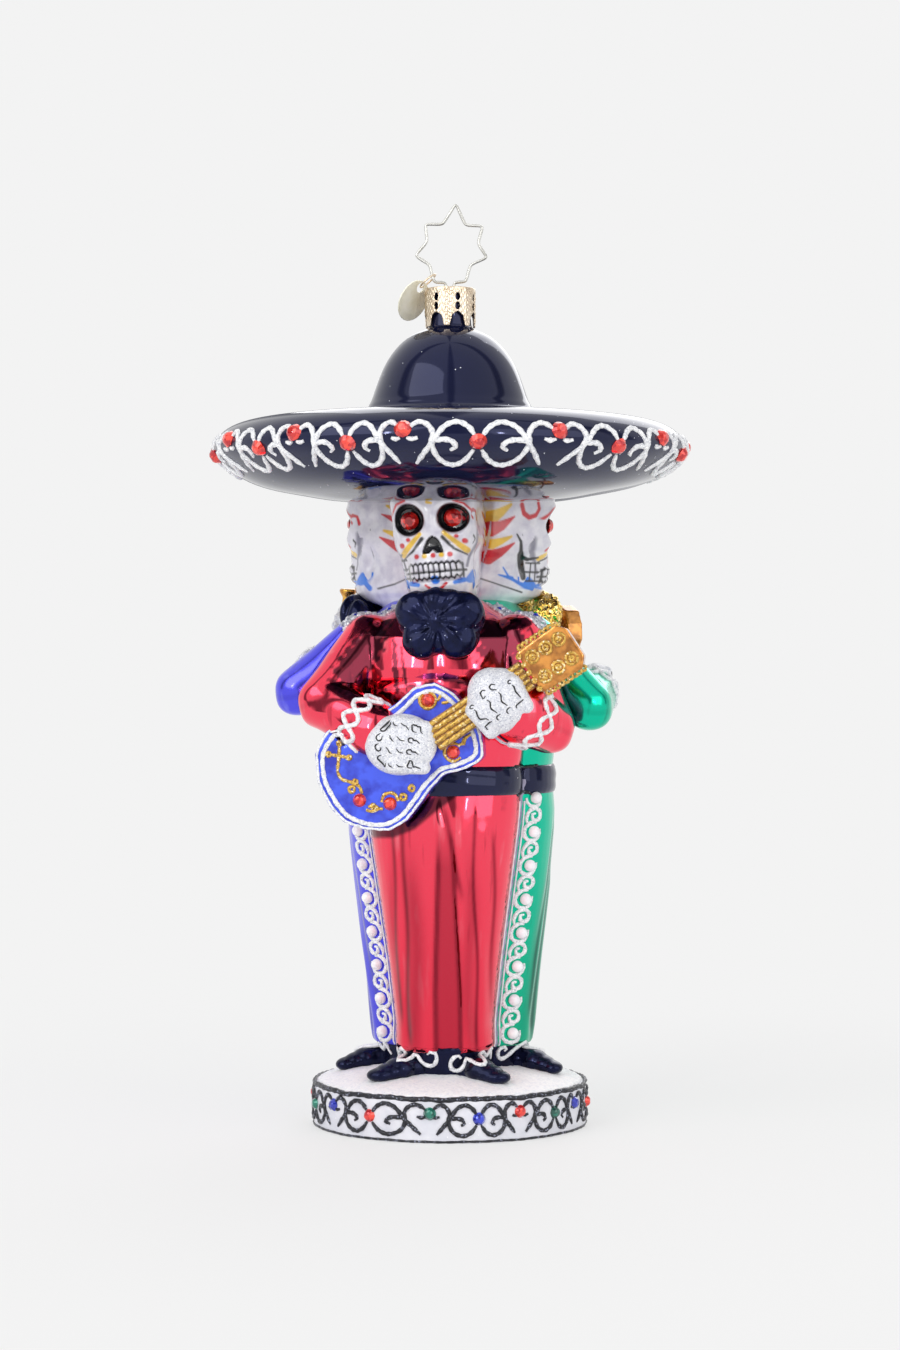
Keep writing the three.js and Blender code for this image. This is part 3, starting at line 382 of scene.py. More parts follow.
EYE_RED = cut_stone("deep_red_foil_backed_glass", "#F02A22", "#8E0710")
STONES = {
    "red": cut_stone("red_foil_backed_glass", "#FF4A38", "#C01220"),
    "green": cut_stone("green_foil_backed_glass", "#14806A", "#07493D"),
    "blue": cut_stone("blue_foil_backed_glass", "#3446D8", "#141D8C"),
}
print("stones:", sorted(STONES))

# %% [markdown]
# ## Working on meshes
# The shapes below start either from a Blender primitive or from a merged copy of the CAD solid they
# stand for. A few helpers select, apply and measure. Numpy reads and writes all the points of a mesh
# at once, in millimetres, so that a fold or a dent is one formula over the whole surface.

# %% Mesh helpers
MERGE_DISTANCE = 0.00002


def choose(*pieces):
    bpy.ops.object.select_all(action="DESELECT")
    for piece in pieces:
        piece.select_set(True)
    bpy.context.view_layer.objects.active = pieces[0]


def apply(piece, kind, **settings):
    modifier = piece.modifiers.new(kind.lower(), kind)
    for name, value in settings.items():
        setattr(modifier, name, value)
    choose(piece)
    bpy.ops.object.modifier_apply(modifier=modifier.name)


def edit(piece, *steps):
    """Runs edit-mode operators on the whole of a piece."""
    choose(piece)
    bpy.ops.object.mode_set(mode="EDIT")
    bpy.ops.mesh.select_all(action="SELECT")
    for step in steps:
        step()
    bpy.ops.object.mode_set(mode="OBJECT")


def merge_close():
    bpy.ops.mesh.remove_doubles(threshold=MERGE_DISTANCE)


def face_out():
    bpy.ops.mesh.normals_make_consistent(inside=False)


def primitive(operator, **settings):
    """A new primitive, made while nothing else is selected."""
    bpy.ops.object.select_all(action="DESELECT")
    operator(**settings)
    return bpy.context.object


def rounded(piece):
    apply(piece, "SUBSURF", levels=2, render_levels=2)


def read(piece, what):
    flat = np.empty(len(piece.data.vertices) * 3)
    piece.data.vertices.foreach_get(what, flat)
    return flat.reshape(-1, 3)


def points_of(piece):
    return read(piece, "co") / MM


def normals_of(piece):
    return read(piece, "normal")


def move_points(piece, points):
    piece.data.vertices.foreach_set("co", (np.asarray(points) * MM).ravel())
    piece.data.update()


def join(name, pieces):
    choose(*pieces)
    if len(pieces) > 1:
        bpy.ops.object.join()
    bpy.context.object.name = name
    return bpy.context.object


def settle(piece, material, slot, body="glass", nodes=(), smooth=40):
    """Gives a piece its material, its shading, its body and the CAD nodes it stands for. The slot is not
    used.
    """
    choose(piece)
    bpy.ops.object.transform_apply(location=True, rotation=True, scale=True)
    bpy.ops.object.shade_smooth_by_angle(angle=math.radians(smooth))
    piece.data.materials.clear()
    piece.data.materials.append(material)
    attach(piece, body)
    if nodes:
        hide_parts(*nodes)
    return piece


def copy_of_node(name, node):
    """A merged copy of one CAD solid as a new object. The node itself is left alone."""
    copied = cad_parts[node].copy()
    copied.data = copied.data.copy()
    copied.parent = None
    for key in list(copied.keys()):
        del copied[key]
    scene.collection.objects.link(copied)
    piece = join(name, [copied])
    edit(piece, merge_close)
    return piece


def window(x, low, high, soft):
    """1 between low and high, falling to 0 over soft on either side."""
    rise = np.clip((x - low) / soft + 0.5, 0, 1)
    fall = np.clip((high - x) / soft + 0.5, 0, 1)
    both = rise * fall
    return both * both * (3 - 2 * both)


def step(x, start, end):
    t = np.clip((x - start) / (end - start), 0, 1)
    return t * t * (3 - 2 * t)


def ridge(x, centre, width):
    return np.exp(-(((x - centre) / width) ** 2))


print("mesh helpers ready")

# %% [markdown]
# ## Lines of glue and glitter
# The scrolls are piped on by hand: a bead of glue squeezed from a tip and dusted with glitter. Each
# stroke is a smooth line through a few points, dropped on the surface below it, with its width
# wavering as a hand does. A curve with a round bevel makes the bead, and half of it sinks in.

# %% Bead helpers
DROP_REACH = 6
# How unevenly a hand squeezes the glue, and how many points from its ends a stroke tapers over.
HAND_WAVER, TAPER_POINTS = 0.13, 3
# A cut stone's table, bevel and seat, as shares of its radius or its height.
STONE_TABLE, STONE_BEVEL, STONE_SEAT = 0.52, 0.16, 0.42


def smooth_line(points, gap=0.45):
    """Points about a gap apart on a smooth curve through the given ones."""
    knots = np.asarray(points, float)
    knots = np.vstack([2 * knots[0] - knots[1], knots, 2 * knots[-1] - knots[-2]])
    line = []
    for k in range(1, len(knots) - 2):
        a, b, c, d = knots[k - 1 : k + 3]
        count = max(1, int(np.linalg.norm(c - b) / gap))
        t = (np.arange(count) / count)[:, None]
        bend = 2 * a - 5 * b + 4 * c - d
        twist = 3 * b - a - 3 * c + d
        line.append(0.5 * (2 * b + (c - a) * t + bend * t**2 + twist * t**3))
    line.append(knots[-2][None, :])
    return np.vstack(line)


def surface_of(*pieces):
    """A searchable copy of the surfaces of pieces, for dropping lines and stones on them."""
    points, faces = [], []
    for piece in pieces:
        start = len(points)
        points += [v.co.copy() for v in piece.data.vertices]
        faces += [[start + k for k in f.vertices] for f in piece.data.polygons]
    return BVHTree.FromPolygons(points, faces)


def dropped(points, surface, lift=0.0):
    """Points moved to the nearest place on a surface and lifted off it. One too far from it is left out."""
    out = []
    for point in points:
        place, normal, _, _ = surface.find_nearest(Vector(point) * MM, DROP_REACH * MM)
        if place is not None:
            out.append(np.array(place + normal * lift * MM) / MM)
    return np.array(out)


def cast(points, surface, way, lift=0.0):
    """Points dropped on a surface along a direction. A point that misses the surface is left out."""
    out = []
    for point in points:
        heading = Vector(way(point)).normalized()
        place, normal, _, _ = surface.ray_cast(Vector(point) * MM, heading)
        if place is not None:
            out.append(np.array(place + normal * lift * MM) / MM)
    return np.array(out)


def inward(point):
    return (-point[0], -point[1], 0)


def down(point):
    return (0, 0, -1)


def beads(name, lines, radius, material, slot, body="glass", taper=0.55):
    """Piped beads along lines of points in millimetres, as one mesh."""
    curve = bpy.data.curves.new(name, "CURVE")
    curve.dimensions = "3D"
    curve.bevel_depth = radius * MM
    curve.bevel_resolution = 1
    curve.use_fill_caps = True
    for number, line in enumerate(lines):
        if len(line) < 3:
            continue
        spline = curve.splines.new("POLY")
        spline.points.add(len(line) - 1)
        for k, point in enumerate(line):
            from_end = min(k, len(line) - 1 - k)
            ease = min(1.0, taper + (1 - taper) * from_end / TAPER_POINTS)
            waver = 1 + HAND_WAVER * math.sin(1.7 * k + 2.3 * number)
            spline.points[k].co = (*(np.asarray(point) * MM), 1)
            spline.points[k].radius = ease * waver
    piece = bpy.data.objects.new(name, curve)
    scene.collection.objects.link(piece)
    choose(piece)
    bpy.ops.object.convert(target="MESH")
    return settle(piece, material, slot, body, smooth=80)


def stone(radius, height=0.75):
    """One cut stone, flat side down: a girdle, eight facets and a table."""
    made = primitive(
        bpy.ops.mesh.primitive_cone_add,
        vertices=8, radius1=radius * MM, radius2=radius * STONE_TABLE * MM, depth=radius * height * MM,
    )
    apply(made, "BEVEL", width=radius * STONE_BEVEL * MM, segments=1)
    made.data.transform(Matrix.Translation((0, 0, radius * height * STONE_SEAT * MM)))
    return made


def strewn(name, pattern, places, material, slot, body="glass"):
    """Copies of a small pattern at places, each a point and an outward normal, joined into one piece."""
    copies = []
    for point, normal in places:
        copied = pattern.copy()
        copied.data = pattern.data.copy()
        turn = Vector(normal).to_track_quat("Z", "Y").to_matrix().to_4x4()
        copied.data.transform(Matrix.Translation(Vector(point) * MM) @ turn)
        scene.collection.objects.link(copied)
        copies.append(copied)
    bpy.data.objects.remove(pattern)
    return settle(join(name, copies), material, slot, body, smooth=15)


def spots(points, surface, sink=0.0):
    """Places for strewn: the nearest place on a surface to each point, and its normal."""
    out = []
    for point in points:
        place, normal, _, _ = surface.find_nearest(Vector(point) * MM)
        out.append((np.array(place - normal * sink * MM) / MM, normal))
    return out


print("bead helpers ready")

# %% [markdown]
# ## The sombrero
# Brim, crown and neck are one surface of revolution, as they come from the mould. The profile is
# drawn as a chain of extruded points and spun round the axis, and a subdivision surface rounds it.

# %% Spin the sombrero
HAT_PROFILE = [
    (4.6, 124), (12, 124), (20, 124.2), (24.5, 124.6), (29, 125.5), (36.6, 126.8), (41.5, 128.6),
    (44.9, 130.7), (46.9, 132.7), (47.5, 134.2), (46.8, 136.2), (44.8, 138.2), (41.9, 139.4), (37.5, 140.2),
    (29, 140.8), (22.9, 141.2), (18, 141.7), (16.6, 142.2), (16.3, 143.1), (15.8, 143.9), (15.4, 145),
    (14.5, 147.7), (13.1, 151.35), (11.1, 154.35), (8.7, 156.7), (6.3, 157.9), (4.5, 158.5), (4.15, 159.4),
    (4.1, 165.7), (3.9, 165.9), (3.3, 165.9), (3.1, 165.6), (3.1, 158),
]


def spun(name, profile, steps):
    """A profile of radius and height in millimetres, extruded point by point and spun round the axis."""
    piece = primitive(bpy.ops.mesh.primitive_plane_add, size=MM, location=(0, 0, 0))
    piece.name = name
    bpy.ops.object.mode_set(mode="EDIT")
    bpy.ops.mesh.select_all(action="SELECT")
    bpy.ops.mesh.merge(type="CENTER")
    here = (0, 0)
    for number, (radius, height) in enumerate(profile):
        shift = ((radius - here[0]) * MM, 0, (height - here[1]) * MM)
        if number == 0:
            bpy.ops.transform.translate(value=shift)
        else:
            bpy.ops.mesh.extrude_vertices_move(TRANSFORM_OT_translate={"value": shift})
        here = (radius, height)
    bpy.ops.mesh.select_all(action="SELECT")
    bpy.ops.mesh.spin(steps=steps, angle=2 * math.pi, center=(0, 0, 0), axis=(0, 0, 1))
    bpy.ops.mesh.select_all(action="SELECT")
    merge_close()
    face_out()
    bpy.ops.object.mode_set(mode="OBJECT")
    return piece


HAT_STEPS, HAT_SAG = 72, 1.2
hat = spun("sombrero_glass", HAT_PROFILE, HAT_STEPS)
rounded(hat)
places = points_of(hat)
# The glass sagged a little over the guitar player, whose head it rests on.
places[:, 2] -= HAT_SAG * step(-places[:, 1], -5, 21) * (1 - step(places[:, 2], 126, 131))
move_points(hat, places)
settle(hat, HAT_BLACK, "sombrero_black", nodes=["sombrero"], smooth=60)
hat_surface = surface_of(hat)
print("sombrero points:", len(hat.data.vertices))

# %% [markdown]
# ## The scroll border
# One half of the border's unit runs from a low stone to the next high stone: a big C from the low
# stone, its inner curl, a leg that crosses to the foot of the band, and a hook by the high stone. The
# other half is its mirror image. The same strokes, in black, go round the base. Places across are
# shares of the half unit, and heights are shares of the band.

# %% Lay the scrolls round the brim and the base
HALF_SCROLL = [
    [
        (0.93, 0.8), (0.86, 0.9), (0.77, 0.95), (0.66, 0.86), (0.6, 0.67), (0.62, 0.45), (0.57, 0.2),
        (0.46, 0.05), (0.31, 0), (0.16, 0.1), (0.05, 0.32),
    ],
    [
        (0.04, 0.6), (0.13, 0.82), (0.27, 0.94), (0.42, 0.87), (0.52, 0.7), (0.61, 0.48), (0.72, 0.28),
        (0.86, 0.03),
    ],
    [(0.6, 0.5), (0.46, 0.54), (0.34, 0.49), (0.3, 0.38), (0.37, 0.31)],
    [(0.95, 0.58), (0.88, 0.55), (0.8, 0.58)],
]
TOWARD_LENS = -math.pi / 2 + VIEW_TURN


def ring_point(radius, turn, height):
    return (radius * math.cos(turn), radius * math.sin(turn), height)


def around(front, total):
    """Angles in degrees right round: the given front ones, and evenly spaced ones to make up the total."""
    missing = total - len(front)
    gap = (front[0] + 360 - front[-1]) / (missing + 1)
    return front + [front[-1] + gap * (k + 1) for k in range(missing)]


def scroll_band(angles, low, high, radius, surface):
    """Strokes between stones at the given angles, which are low and high in turn."""
    lines = []
    for k, angle in enumerate(angles):
        nearby = angles[(k + 1) % len(angles)] + (360 if k + 1 == len(angles) else 0)
        start, end = (angle, nearby) if k % 2 else (nearby, angle)
        for stroke in HALF_SCROLL:
            path = []
            for share, height in stroke:
                turn = TOWARD_LENS + math.radians(start + (end - start) * share)
                path.append(ring_point(radius, turn, low + (high - low) * height))
            lines.append(cast(smooth_line(path), surface, inward))
    return lines


def stone_points(angles, radius, heights):
    """Points for stones whose heights are taken in turn."""
    out = []
    for k, angle in enumerate(angles):
        turn = TOWARD_LENS + math.radians(angle)
        out.append(ring_point(radius, turn, heights[k % len(heights)]))
    return out


BRIM_STONES, BRIM_RADIUS, BRIM_STONE_HEIGHTS = 22, 47.4, [135.2, 132.3]
BRIM_BAND_FOOT, BRIM_BAND_TOP, OUTSIDE_BRIM = 128.8, 136.8, 60
brim_angles = around([-64.9, -51, -38.4, -24.1, -10.7, 6.4, 25.7, 42.9, 59.8, 76], BRIM_STONES)
brim_lines = scroll_band(brim_angles, BRIM_BAND_FOOT, BRIM_BAND_TOP, OUTSIDE_BRIM, hat_surface)
beads("brim_scrolls", brim_lines, 0.56, WHITE_GLITTER, "base_white")
brim_pattern = stone(1.95)
brim_places = spots(stone_points(brim_angles, BRIM_RADIUS, BRIM_STONE_HEIGHTS), hat_surface, 0.1)
strewn("brim_stones", brim_pattern, brim_places, STONES["red"], "gem_red")
print("brim strokes and stones:", len(brim_angles))

# %% [markdown]
# ## The round base
# A short drum with a silver-white side and a low mound of snow on top, which rises to the players'
# ankles. The snow is flock and glitter, rough enough to have a bumpy outline of its own.

# %% Spin the base and its snow
BASE_PROFILE = [
    (0.01, 0.02), (25, 0), (26.9, 0), (27.15, 0.04), (27.2, 0.2), (27.2, 2), (27.2, 4.5), (27.2, 7.6),
    (27.1, 8.4), (26.6, 8.75), (24, 9.2), (0.01, 9.6),
]
SNOW_PROFILE = [
    (0.01, 12.6), (4, 12.5), (9, 12.1), (14, 11.5), (19, 10.95), (23, 10.1), (25.6, 9.3), (26.5, 8.8),
    (26.3, 8.5), (20, 8.4), (0.01, 8.4),
]
SNOW_FOOT, SNOW_LUMP = 8.6, 0.09
SATIN_WHITE = gloss_paint("silver_white_satin_paint", "#ECECF2", "#D8D9E2", 5, 0.32, dust="#FFFFFF")

base = spun("base_glass", BASE_PROFILE, 64)
rounded(base)
settle(base, SATIN_WHITE, "base_white", nodes=["round_base"], smooth=60)
base_surface = surface_of(base)

snow = spun("base_snow", SNOW_PROFILE, 96)
rounded(snow)
places = points_of(snow)
x, y, z = places.T
lumps = np.sin(x * 2.1 + 1) * np.sin(y * 2.3) + 0.6 * np.sin(x * 5.3) * np.sin(y * 4.9 + 2)
places[:, 2] += SNOW_LUMP * lumps * (z > SNOW_FOOT)
move_points(snow, places)
settle(snow, SNOW, "base_white", smooth=60)
print("base and snow points:", len(base.data.vertices), len(snow.data.vertices))

# %% [markdown]
# ## The base's trim
# The brim's scrolls come back in black glitter round the drum, between two lines, with stones of three
# colours in turn. The brim's functions draw them, because only the radius and the heights change.

# %% Trim the base
def ring_line(radius, height, waver, count=260):
    out = []
    for k in range(count + 1):
        turn = 2 * math.pi * k / count
        z = height + waver * math.sin(9 * turn) + waver * math.sin(23 * turn + 1)
        out.append(ring_point(radius, turn, z))
    return np.array(out)


BASE_STONES, BASE_RADIUS, LOW_STONE, HIGH_STONE = 18, 27.2, 4.7, 5.7
BASE_BAND_FOOT, BASE_BAND_TOP, OUTSIDE_BASE = 1.5, 7.7, 40
base_angles = around([-56.3, -34.8, -8.2, 11.8, 29.8, 48.3, 63.4], BASE_STONES)
base_lines = scroll_band(base_angles, BASE_BAND_FOOT, BASE_BAND_TOP, OUTSIDE_BASE, base_surface)
base_rim = dropped(ring_line(27.0, 8.5, 0.14), base_surface)
base_foot = dropped(ring_line(BASE_RADIUS, 0.34, 0.03), base_surface)
for word, lines, width in (
    ("scrolls", base_lines, 0.46), ("rim_line", [base_rim], 0.52), ("foot_line", [base_foot], 0.26),
):
    beads("base_" + word, lines, width, BLACK_GLITTER, "sombrero_black")
for number, colour in enumerate(["blue", "red", "green"]):
    angles = base_angles[number::3]
    heights = [LOW_STONE if base_angles.index(a) % 2 else HIGH_STONE for a in angles]
    pattern = stone(1.45)
    places = spots(stone_points(angles, BASE_RADIUS, heights), base_surface, 0.05)
    strewn("base_stones_" + colour, pattern, places, STONES[colour], "gem_red")
print("base strokes:", len(base_lines))

# %% [markdown]
# ## Three players round one axis
# All three figures come from the same mould idea: they stand back to back, each in a third of a turn.
# So a form is made once, facing the front, and a copy is turned to each player's place. A form is
# drawn up from a disc, ring by ring, scaled at each height to the figure's width and depth there.

# %% Players and form helpers
PLAYERS = {"guitar": ("red", 0), "violin": ("green", 120), "trumpet": ("blue", -120)}
# The heights of the jacket's foot and of its collar.
HEM, COLLAR = 73.3, 102.7
THIRD = math.radians(60)


def moulded(name, stations, sides=48):
    """An upright form from stations of height, half width, forward reach and backward reach."""
    piece = primitive(bpy.ops.mesh.primitive_circle_add, vertices=sides, radius=MM, fill_type="NGON")
    piece.name = name
    bpy.ops.object.mode_set(mode="EDIT")
    bpy.ops.mesh.select_all(action="SELECT")
    half_before, depth_before, centre_before, z_before = 1, 1, 0, 0
    for number, (z, half, front, back) in enumerate(stations):
        depth, centre = (front - back) / 2, -(front + back) / 2
        shift = (0, (centre - centre_before) * MM, (z - z_before) * MM)
        if number:
            bpy.ops.mesh.extrude_region_move(TRANSFORM_OT_translate={"value": shift})
        else:
            bpy.ops.transform.translate(value=shift)
        grow = (half / half_before, depth / depth_before, 1)
        bpy.ops.transform.resize(value=grow, center_override=(0, centre * MM, z * MM))
        half_before, depth_before, centre_before, z_before = half, depth, centre, z
    bpy.ops.mesh.select_all(action="SELECT")
    face_out()
    bpy.ops.object.mode_set(mode="OBJECT")
    return piece


def ball(centre, radii, turn=0):
    """A rounded lump, its long axis turned in the upright plane, to join with others."""
    piece = primitive(bpy.ops.mesh.primitive_uv_sphere_add, segments=32, ring_count=20, radius=1)
    scale = Matrix.Diagonal((*(r * MM for r in radii), 1))
    spin = Matrix.Rotation(math.radians(turn), 4, "Y")
    piece.data.transform(Matrix.Translation(Vector(centre) * MM) @ spin @ scale)
    return piece


def tube(start, end, radius_start, radius_end):
    """A tapered tube between two points, closed at its ends."""
    start, end = Vector(start), Vector(end)
    piece = primitive(
        bpy.ops.mesh.primitive_cone_add,
        vertices=32, radius1=radius_start * MM, radius2=radius_end * MM, depth=(end - start).length * MM,
    )
    turn = (end - start).to_track_quat("Z", "Y").to_matrix().to_4x4()
    piece.data.transform(Matrix.Translation((start + end) / 2 * MM) @ turn)
    return piece


def squared(piece, stations, power):
    """Pushes the corners of an upright form out, from a round plan towards a square one."""
    heights, halves, fronts, backs = np.array(stations).T
    places = points_of(piece)
    half = np.interp(places[:, 2], heights, halves)
    depth = np.interp(places[:, 2], heights, (fronts - backs) / 2)
    centre = np.interp(places[:, 2], heights, (fronts + backs) / 2)
    across, along = places[:, 0] / half, (-places[:, 1] - centre) / depth
    bend = np.interp(places[:, 2], *power)
    reach = (np.abs(across) ** bend + np.abs(along) ** bend) ** (1 / bend)
    grow = np.hypot(across, along) / np.maximum(reach, 1e-6)
    places[:, 0] = across * grow * half
    places[:, 1] = -centre - along * grow * depth
    move_points(piece, places)
    return piece


def cut_away(outward):
    """Removes what lies outward of a plane through the axis, and closes the cut."""
    bpy.ops.mesh.bisect(plane_co=(0, 0, 0), plane_no=outward, use_fill=True, clear_outer=True)


def fused(name, parts, voxel, rounds=4, third=True):
    """Closed parts melted into one skin, cut to the player's third of a turn and smoothed."""
    piece = join(name, parts)
    apply(piece, "REMESH", mode="VOXEL", voxel_size=voxel * MM)
    if third:
        for side in (1, -1):
            outward = (side * math.cos(THIRD), math.sin(THIRD), 0)
            edit(piece, lambda: cut_away(outward))
        apply(piece, "REMESH", mode="VOXEL", voxel_size=voxel * MM)
    apply(piece, "SMOOTH", factor=0.6, iterations=rounds)
    return piece


def refined(name, node, voxel, rounds, *more):
    """A softened copy of one CAD solid, with any more parts melted into it."""
    return fused(name, [copy_of_node(name, node), *more], voxel, rounds=rounds, third=False)


def turn_mesh(piece, turn):
    piece.data.transform(Matrix.Rotation(math.radians(turn), 4, "Z"))


def turned_copy(piece, name, turn):
    copied = piece.copy()
    copied.data = piece.data.copy()
    copied.name = name
    scene.collection.objects.link(copied)
    turn_mesh(copied, turn)
    return copied


def turned_points(points, turn):
    c, s = math.cos(math.radians(turn)), math.sin(math.radians(turn))
    x, y, z = np.asarray(points, float).T
    return np.column_stack([x * c - y * s, x * s + y * c, z])


def mark(piece, name, values):
    """A number on each point of a mesh, for its material to read."""
    layer = piece.data.attributes.new(name, "FLOAT", "POINT")
    layer.data.foreach_set("value", np.asarray(values, np.float32))


def drop_part(piece):
    bpy.data.objects.remove(piece)


def one_each(form, word, material=None, slot=None, stands_for_node=True):
    """A copy of a form on each player, in the player's own lacquer unless a material is given."""
    made = {}
    for role, (colour, turn) in PLAYERS.items():
        looks = (CLOTH[colour], "jacket_" + colour) if material is None else (material, slot)
        nodes = [f"{role}_player_{word}"] if stands_for_node else []
        made[role] = settle(turned_copy(form, f"{colour}_{word}", turn), *looks, nodes=nodes)
    drop_part(form)
    return made


print("players:", {k: v[0] for k, v in PLAYERS.items()})

# %% [markdown]
# ## Trousers
# Two legs side by side in one form, with a deep pleat between them and soft vertical folds. On mirror
# glass a fold a quarter of a millimetre deep already draws a dark line, because it turns the
# reflection, so the folds are shallow. Painted shade and pooled lacquer darken the grooves, and
# painted shade darkens wide bands down the legs; one mark on the mesh holds both.

# %% Shape the trousers
TROUSER_STATIONS = [
    (15.7, 9.4, 16.7, -3.4), (16.5, 9.9, 17.2, -3.5), (21.1, 9.8, 17.8, -3.5), (32.5, 11, 18.9, -3.5),
    (47.4, 13, 20.4, -3.5), (58.8, 14.6, 21.3, -3.5), (62.5, 15, 21.3, -3.5), (66, 15.2, 20.9, -3.5),
    (68.6, 15.3, 20.8, -3.5),
]
FOLDS = [
    # where it starts and ends across, its top and foot, its width, and how far it stands out
    (-6.9, -6.1, 62, 18, 0.75, -0.34), (-4.6, -4.2, 50, 18, 0.7, 0.26), (-9.2, -8.2, 60, 22, 0.6, -0.2),
    (6.9, 7.0, 64, 16, 0.5, -0.32), (8.8, 8.2, 60, 20, 0.9, 0.26), (4.4, 5.4, 58, 18, 0.5, 0.26),
    (1.0, 4.7, 64, 47, 0.8, -0.4), (-2.6, -2.2, 56, 16, 0.5, 0.22), (10.6, 9.2, 58, 18, 0.5, -0.2),
]
# Wide bands of painted shade down the legs: their middle, width and strength.
BROAD_SHADES = [(-4.5, 1.7, 0.5), (6.2, 1.2, 0.4), (-9, 0.8, 0.25)]


def shape_legs(piece):
    """Presses the pleat and the folds into the front, and marks painted shade, with pooled lacquer in the
    grooves.
    """
    places, normals = points_of(piece), normals_of(piece)
    x, z = places[:, 0], places[:, 2]
    front = np.clip((-normals[:, 1] - 0.15) / 0.4, 0, 1)
    drop = np.clip((60 - z) / 8, 0, 1)
    pleat_width = 1.2 + 1.1 * np.clip((58 - z) / 30, 0, 1)
    off_middle = np.abs(x - 1.8)
    pleat = step(pleat_width - off_middle, -0.8, 0.6) * drop
    out = -1.15 * pleat
    edge = ridge(off_middle, pleat_width + 0.1, 0.45) * drop
    # Painted shade and pooled lacquer in the pleat and along its edges.
    pool = 0.5 * pleat + 0.9 * edge
    # Painted shade in wide bands down the legs.
    for middle, width, strength in BROAD_SHADES:
        waver = 0.5 * np.sin(z * 0.17 + middle)
        pool += strength * ridge(x, middle + waver, width) * window(z, 14, 52, 16)
    for x_top, x_foot, top, foot, width, height in FOLDS:
        share = np.clip((top - z) / (top - foot), 0, 1)
        line = x_top + (x_foot - x_top) * share + 0.25 * np.sin(z * 0.21 + x_top)
        reach = window(z, foot, top, 5)
        out += height * ridge(x, line, width) * reach
        # Painted shade and pooled lacquer in the grooves.
        if height < 0:
            pool += 0.75 * ridge(x, line + 0.3, width * 0.7) * reach
    out += 0.1 * np.sin(x * 2.3 + 0.05 * z) * window(z, 14, 40, 14)
    places[:, 1] -= out * front
    move_points(piece, places)
    mark(piece, "pool", np.clip(pool * front, 0, 0.95))


legs = fused("trousers_form", [moulded("trousers_form", TROUSER_STATIONS)], 0.36)
shape_legs(legs)
apply(legs, "SMOOTH", factor=0.5, iterations=3)
trousers = one_each(legs, "trousers")
print("points in each pair of trousers:", len(trousers["guitar"].data.vertices))

# %% [markdown]
# ## Sashes and the black under the hems
# A wide black sash covers the join of trousers and jacket. It was brushed on as thick black paint and
# dusted while wet, so its edges have a crust of black glitter. The black forms under the hems, which
# the shoes come out of, are made here too, because they are drawn up from rings in the same way.

# %% Wrap the sashes
SASH_STATIONS = [
    (65.9, 15.3, 20.9, -3.5), (66.5, 15.6, 21.3, -3.5), (68.9, 15.8, 21.45, -3.5), (71.2, 15.6, 21.3, -3.5),
    (71.9, 15.3, 20.9, -3.5),
]
UNDER_HEM_STATIONS = [
    (10.6, 8.6, 14.2, -3.4), (13, 9, 15.2, -3.4), (15.6, 9.4, 16.2, -3.4), (16.8, 9.5, 16.4, -3.4),
]
# The height and the distance from the axis of each line of crust.
CRUST_LINES = ((66.2, 18.5), (71.6, 19))

wrap = fused("sash_form", [moulded("sash_form", SASH_STATIONS)], 0.4)
places = points_of(wrap)
gather = 0.07 * np.sin(places[:, 2] * 2.3 + 0.25 * places[:, 0]) * ridge(places[:, 2], 68.8, 4)
places[:, 1] -= gather * (places[:, 1] < -4)
move_points(wrap, places)
# Black forms under the hems, between the trousers and the shoes.
under_hem = fused("under_hem_form", [moulded("under_hem_form", UNDER_HEM_STATIONS)], 0.4)
under_hem_blacks = one_each(under_hem, "black_under_hem", SHOE_BLACK, "shoe_black", stands_for_node=False)
sashes = one_each(wrap, "sash", HAT_BLACK, "sash_black")
sash_surface = surface_of(*sashes.values())
crust = []
for height, radius in CRUST_LINES:
    crust.append(dropped(ring_line(radius, height, 0.14, 340), sash_surface))
beads("sash_glitter_edges", crust, 0.3, BLACK_GLITTER, "sash_black")
print("sashes and boot tops:", len(sashes), len(under_hem_blacks))

# %% [markdown]
# ## Jackets and sleeves
# Jacket and sleeves are one blown form. Shoulder, elbow and wrist are balls with tapered tubes
# between them, and melting them together with the body rounds every join, as hot glass does. Soft
# dents at the elbow and across the chest give the mirror something to bend.

# %% Arms
def at(x, forward, z):
    """A point in a player's own terms: to the viewer's right, towards the viewer, and up."""
    return Vector((x, -forward, z))


ARMS = {
    # side: elbow, palm, half sizes of the hand, its turn, radius of the cuff
    "guitar": {
        -1: (at(-22.3, 18, HEM + 10.8), at(-5.6, 29, HEM + 3), (7.4, 3.6, 5.9), -5, 5.4),
        1: (at(21.4, 18, HEM + 6.2), at(13, 29.4, HEM + 11.3), (6.2, 4.2, 6.4), 20, 6.5),
    },
    "trumpet": {
        -1: (at(-23.6, 19.6, HEM + 12.8), at(-3.2, 27.6, COLLAR - 2.8), (5, 3.8, 4.3), 30, 4.8),
        1: (at(23.6, 19.6, HEM + 12.8), at(3.4, 28.4, COLLAR - 11), (5.2, 3.8, 4.2), -20, 4.8),
    },
    "violin": {
        -1: (at(-23.4, 19.6, HEM + 10), at(-9, 27.6, COLLAR - 15.4), (5, 3.6, 4.4), 14, 4.8),
        1: (at(23.4, 19.6, HEM + 10), at(16.4, 26.6, COLLAR - 9.6), (4.4, 3.8, 4.4), 10, 4.8),
    },
}
SHOULDER_RADIUS, ELBOW_RADIUS = 5.6, 5.3


def wrist(arm):
    """The middle of the sleeve's end, where the hand comes out."""
    elbow, palm, size = arm[:3]
    return palm + (elbow - palm).normalized() * size[0] * 0.95


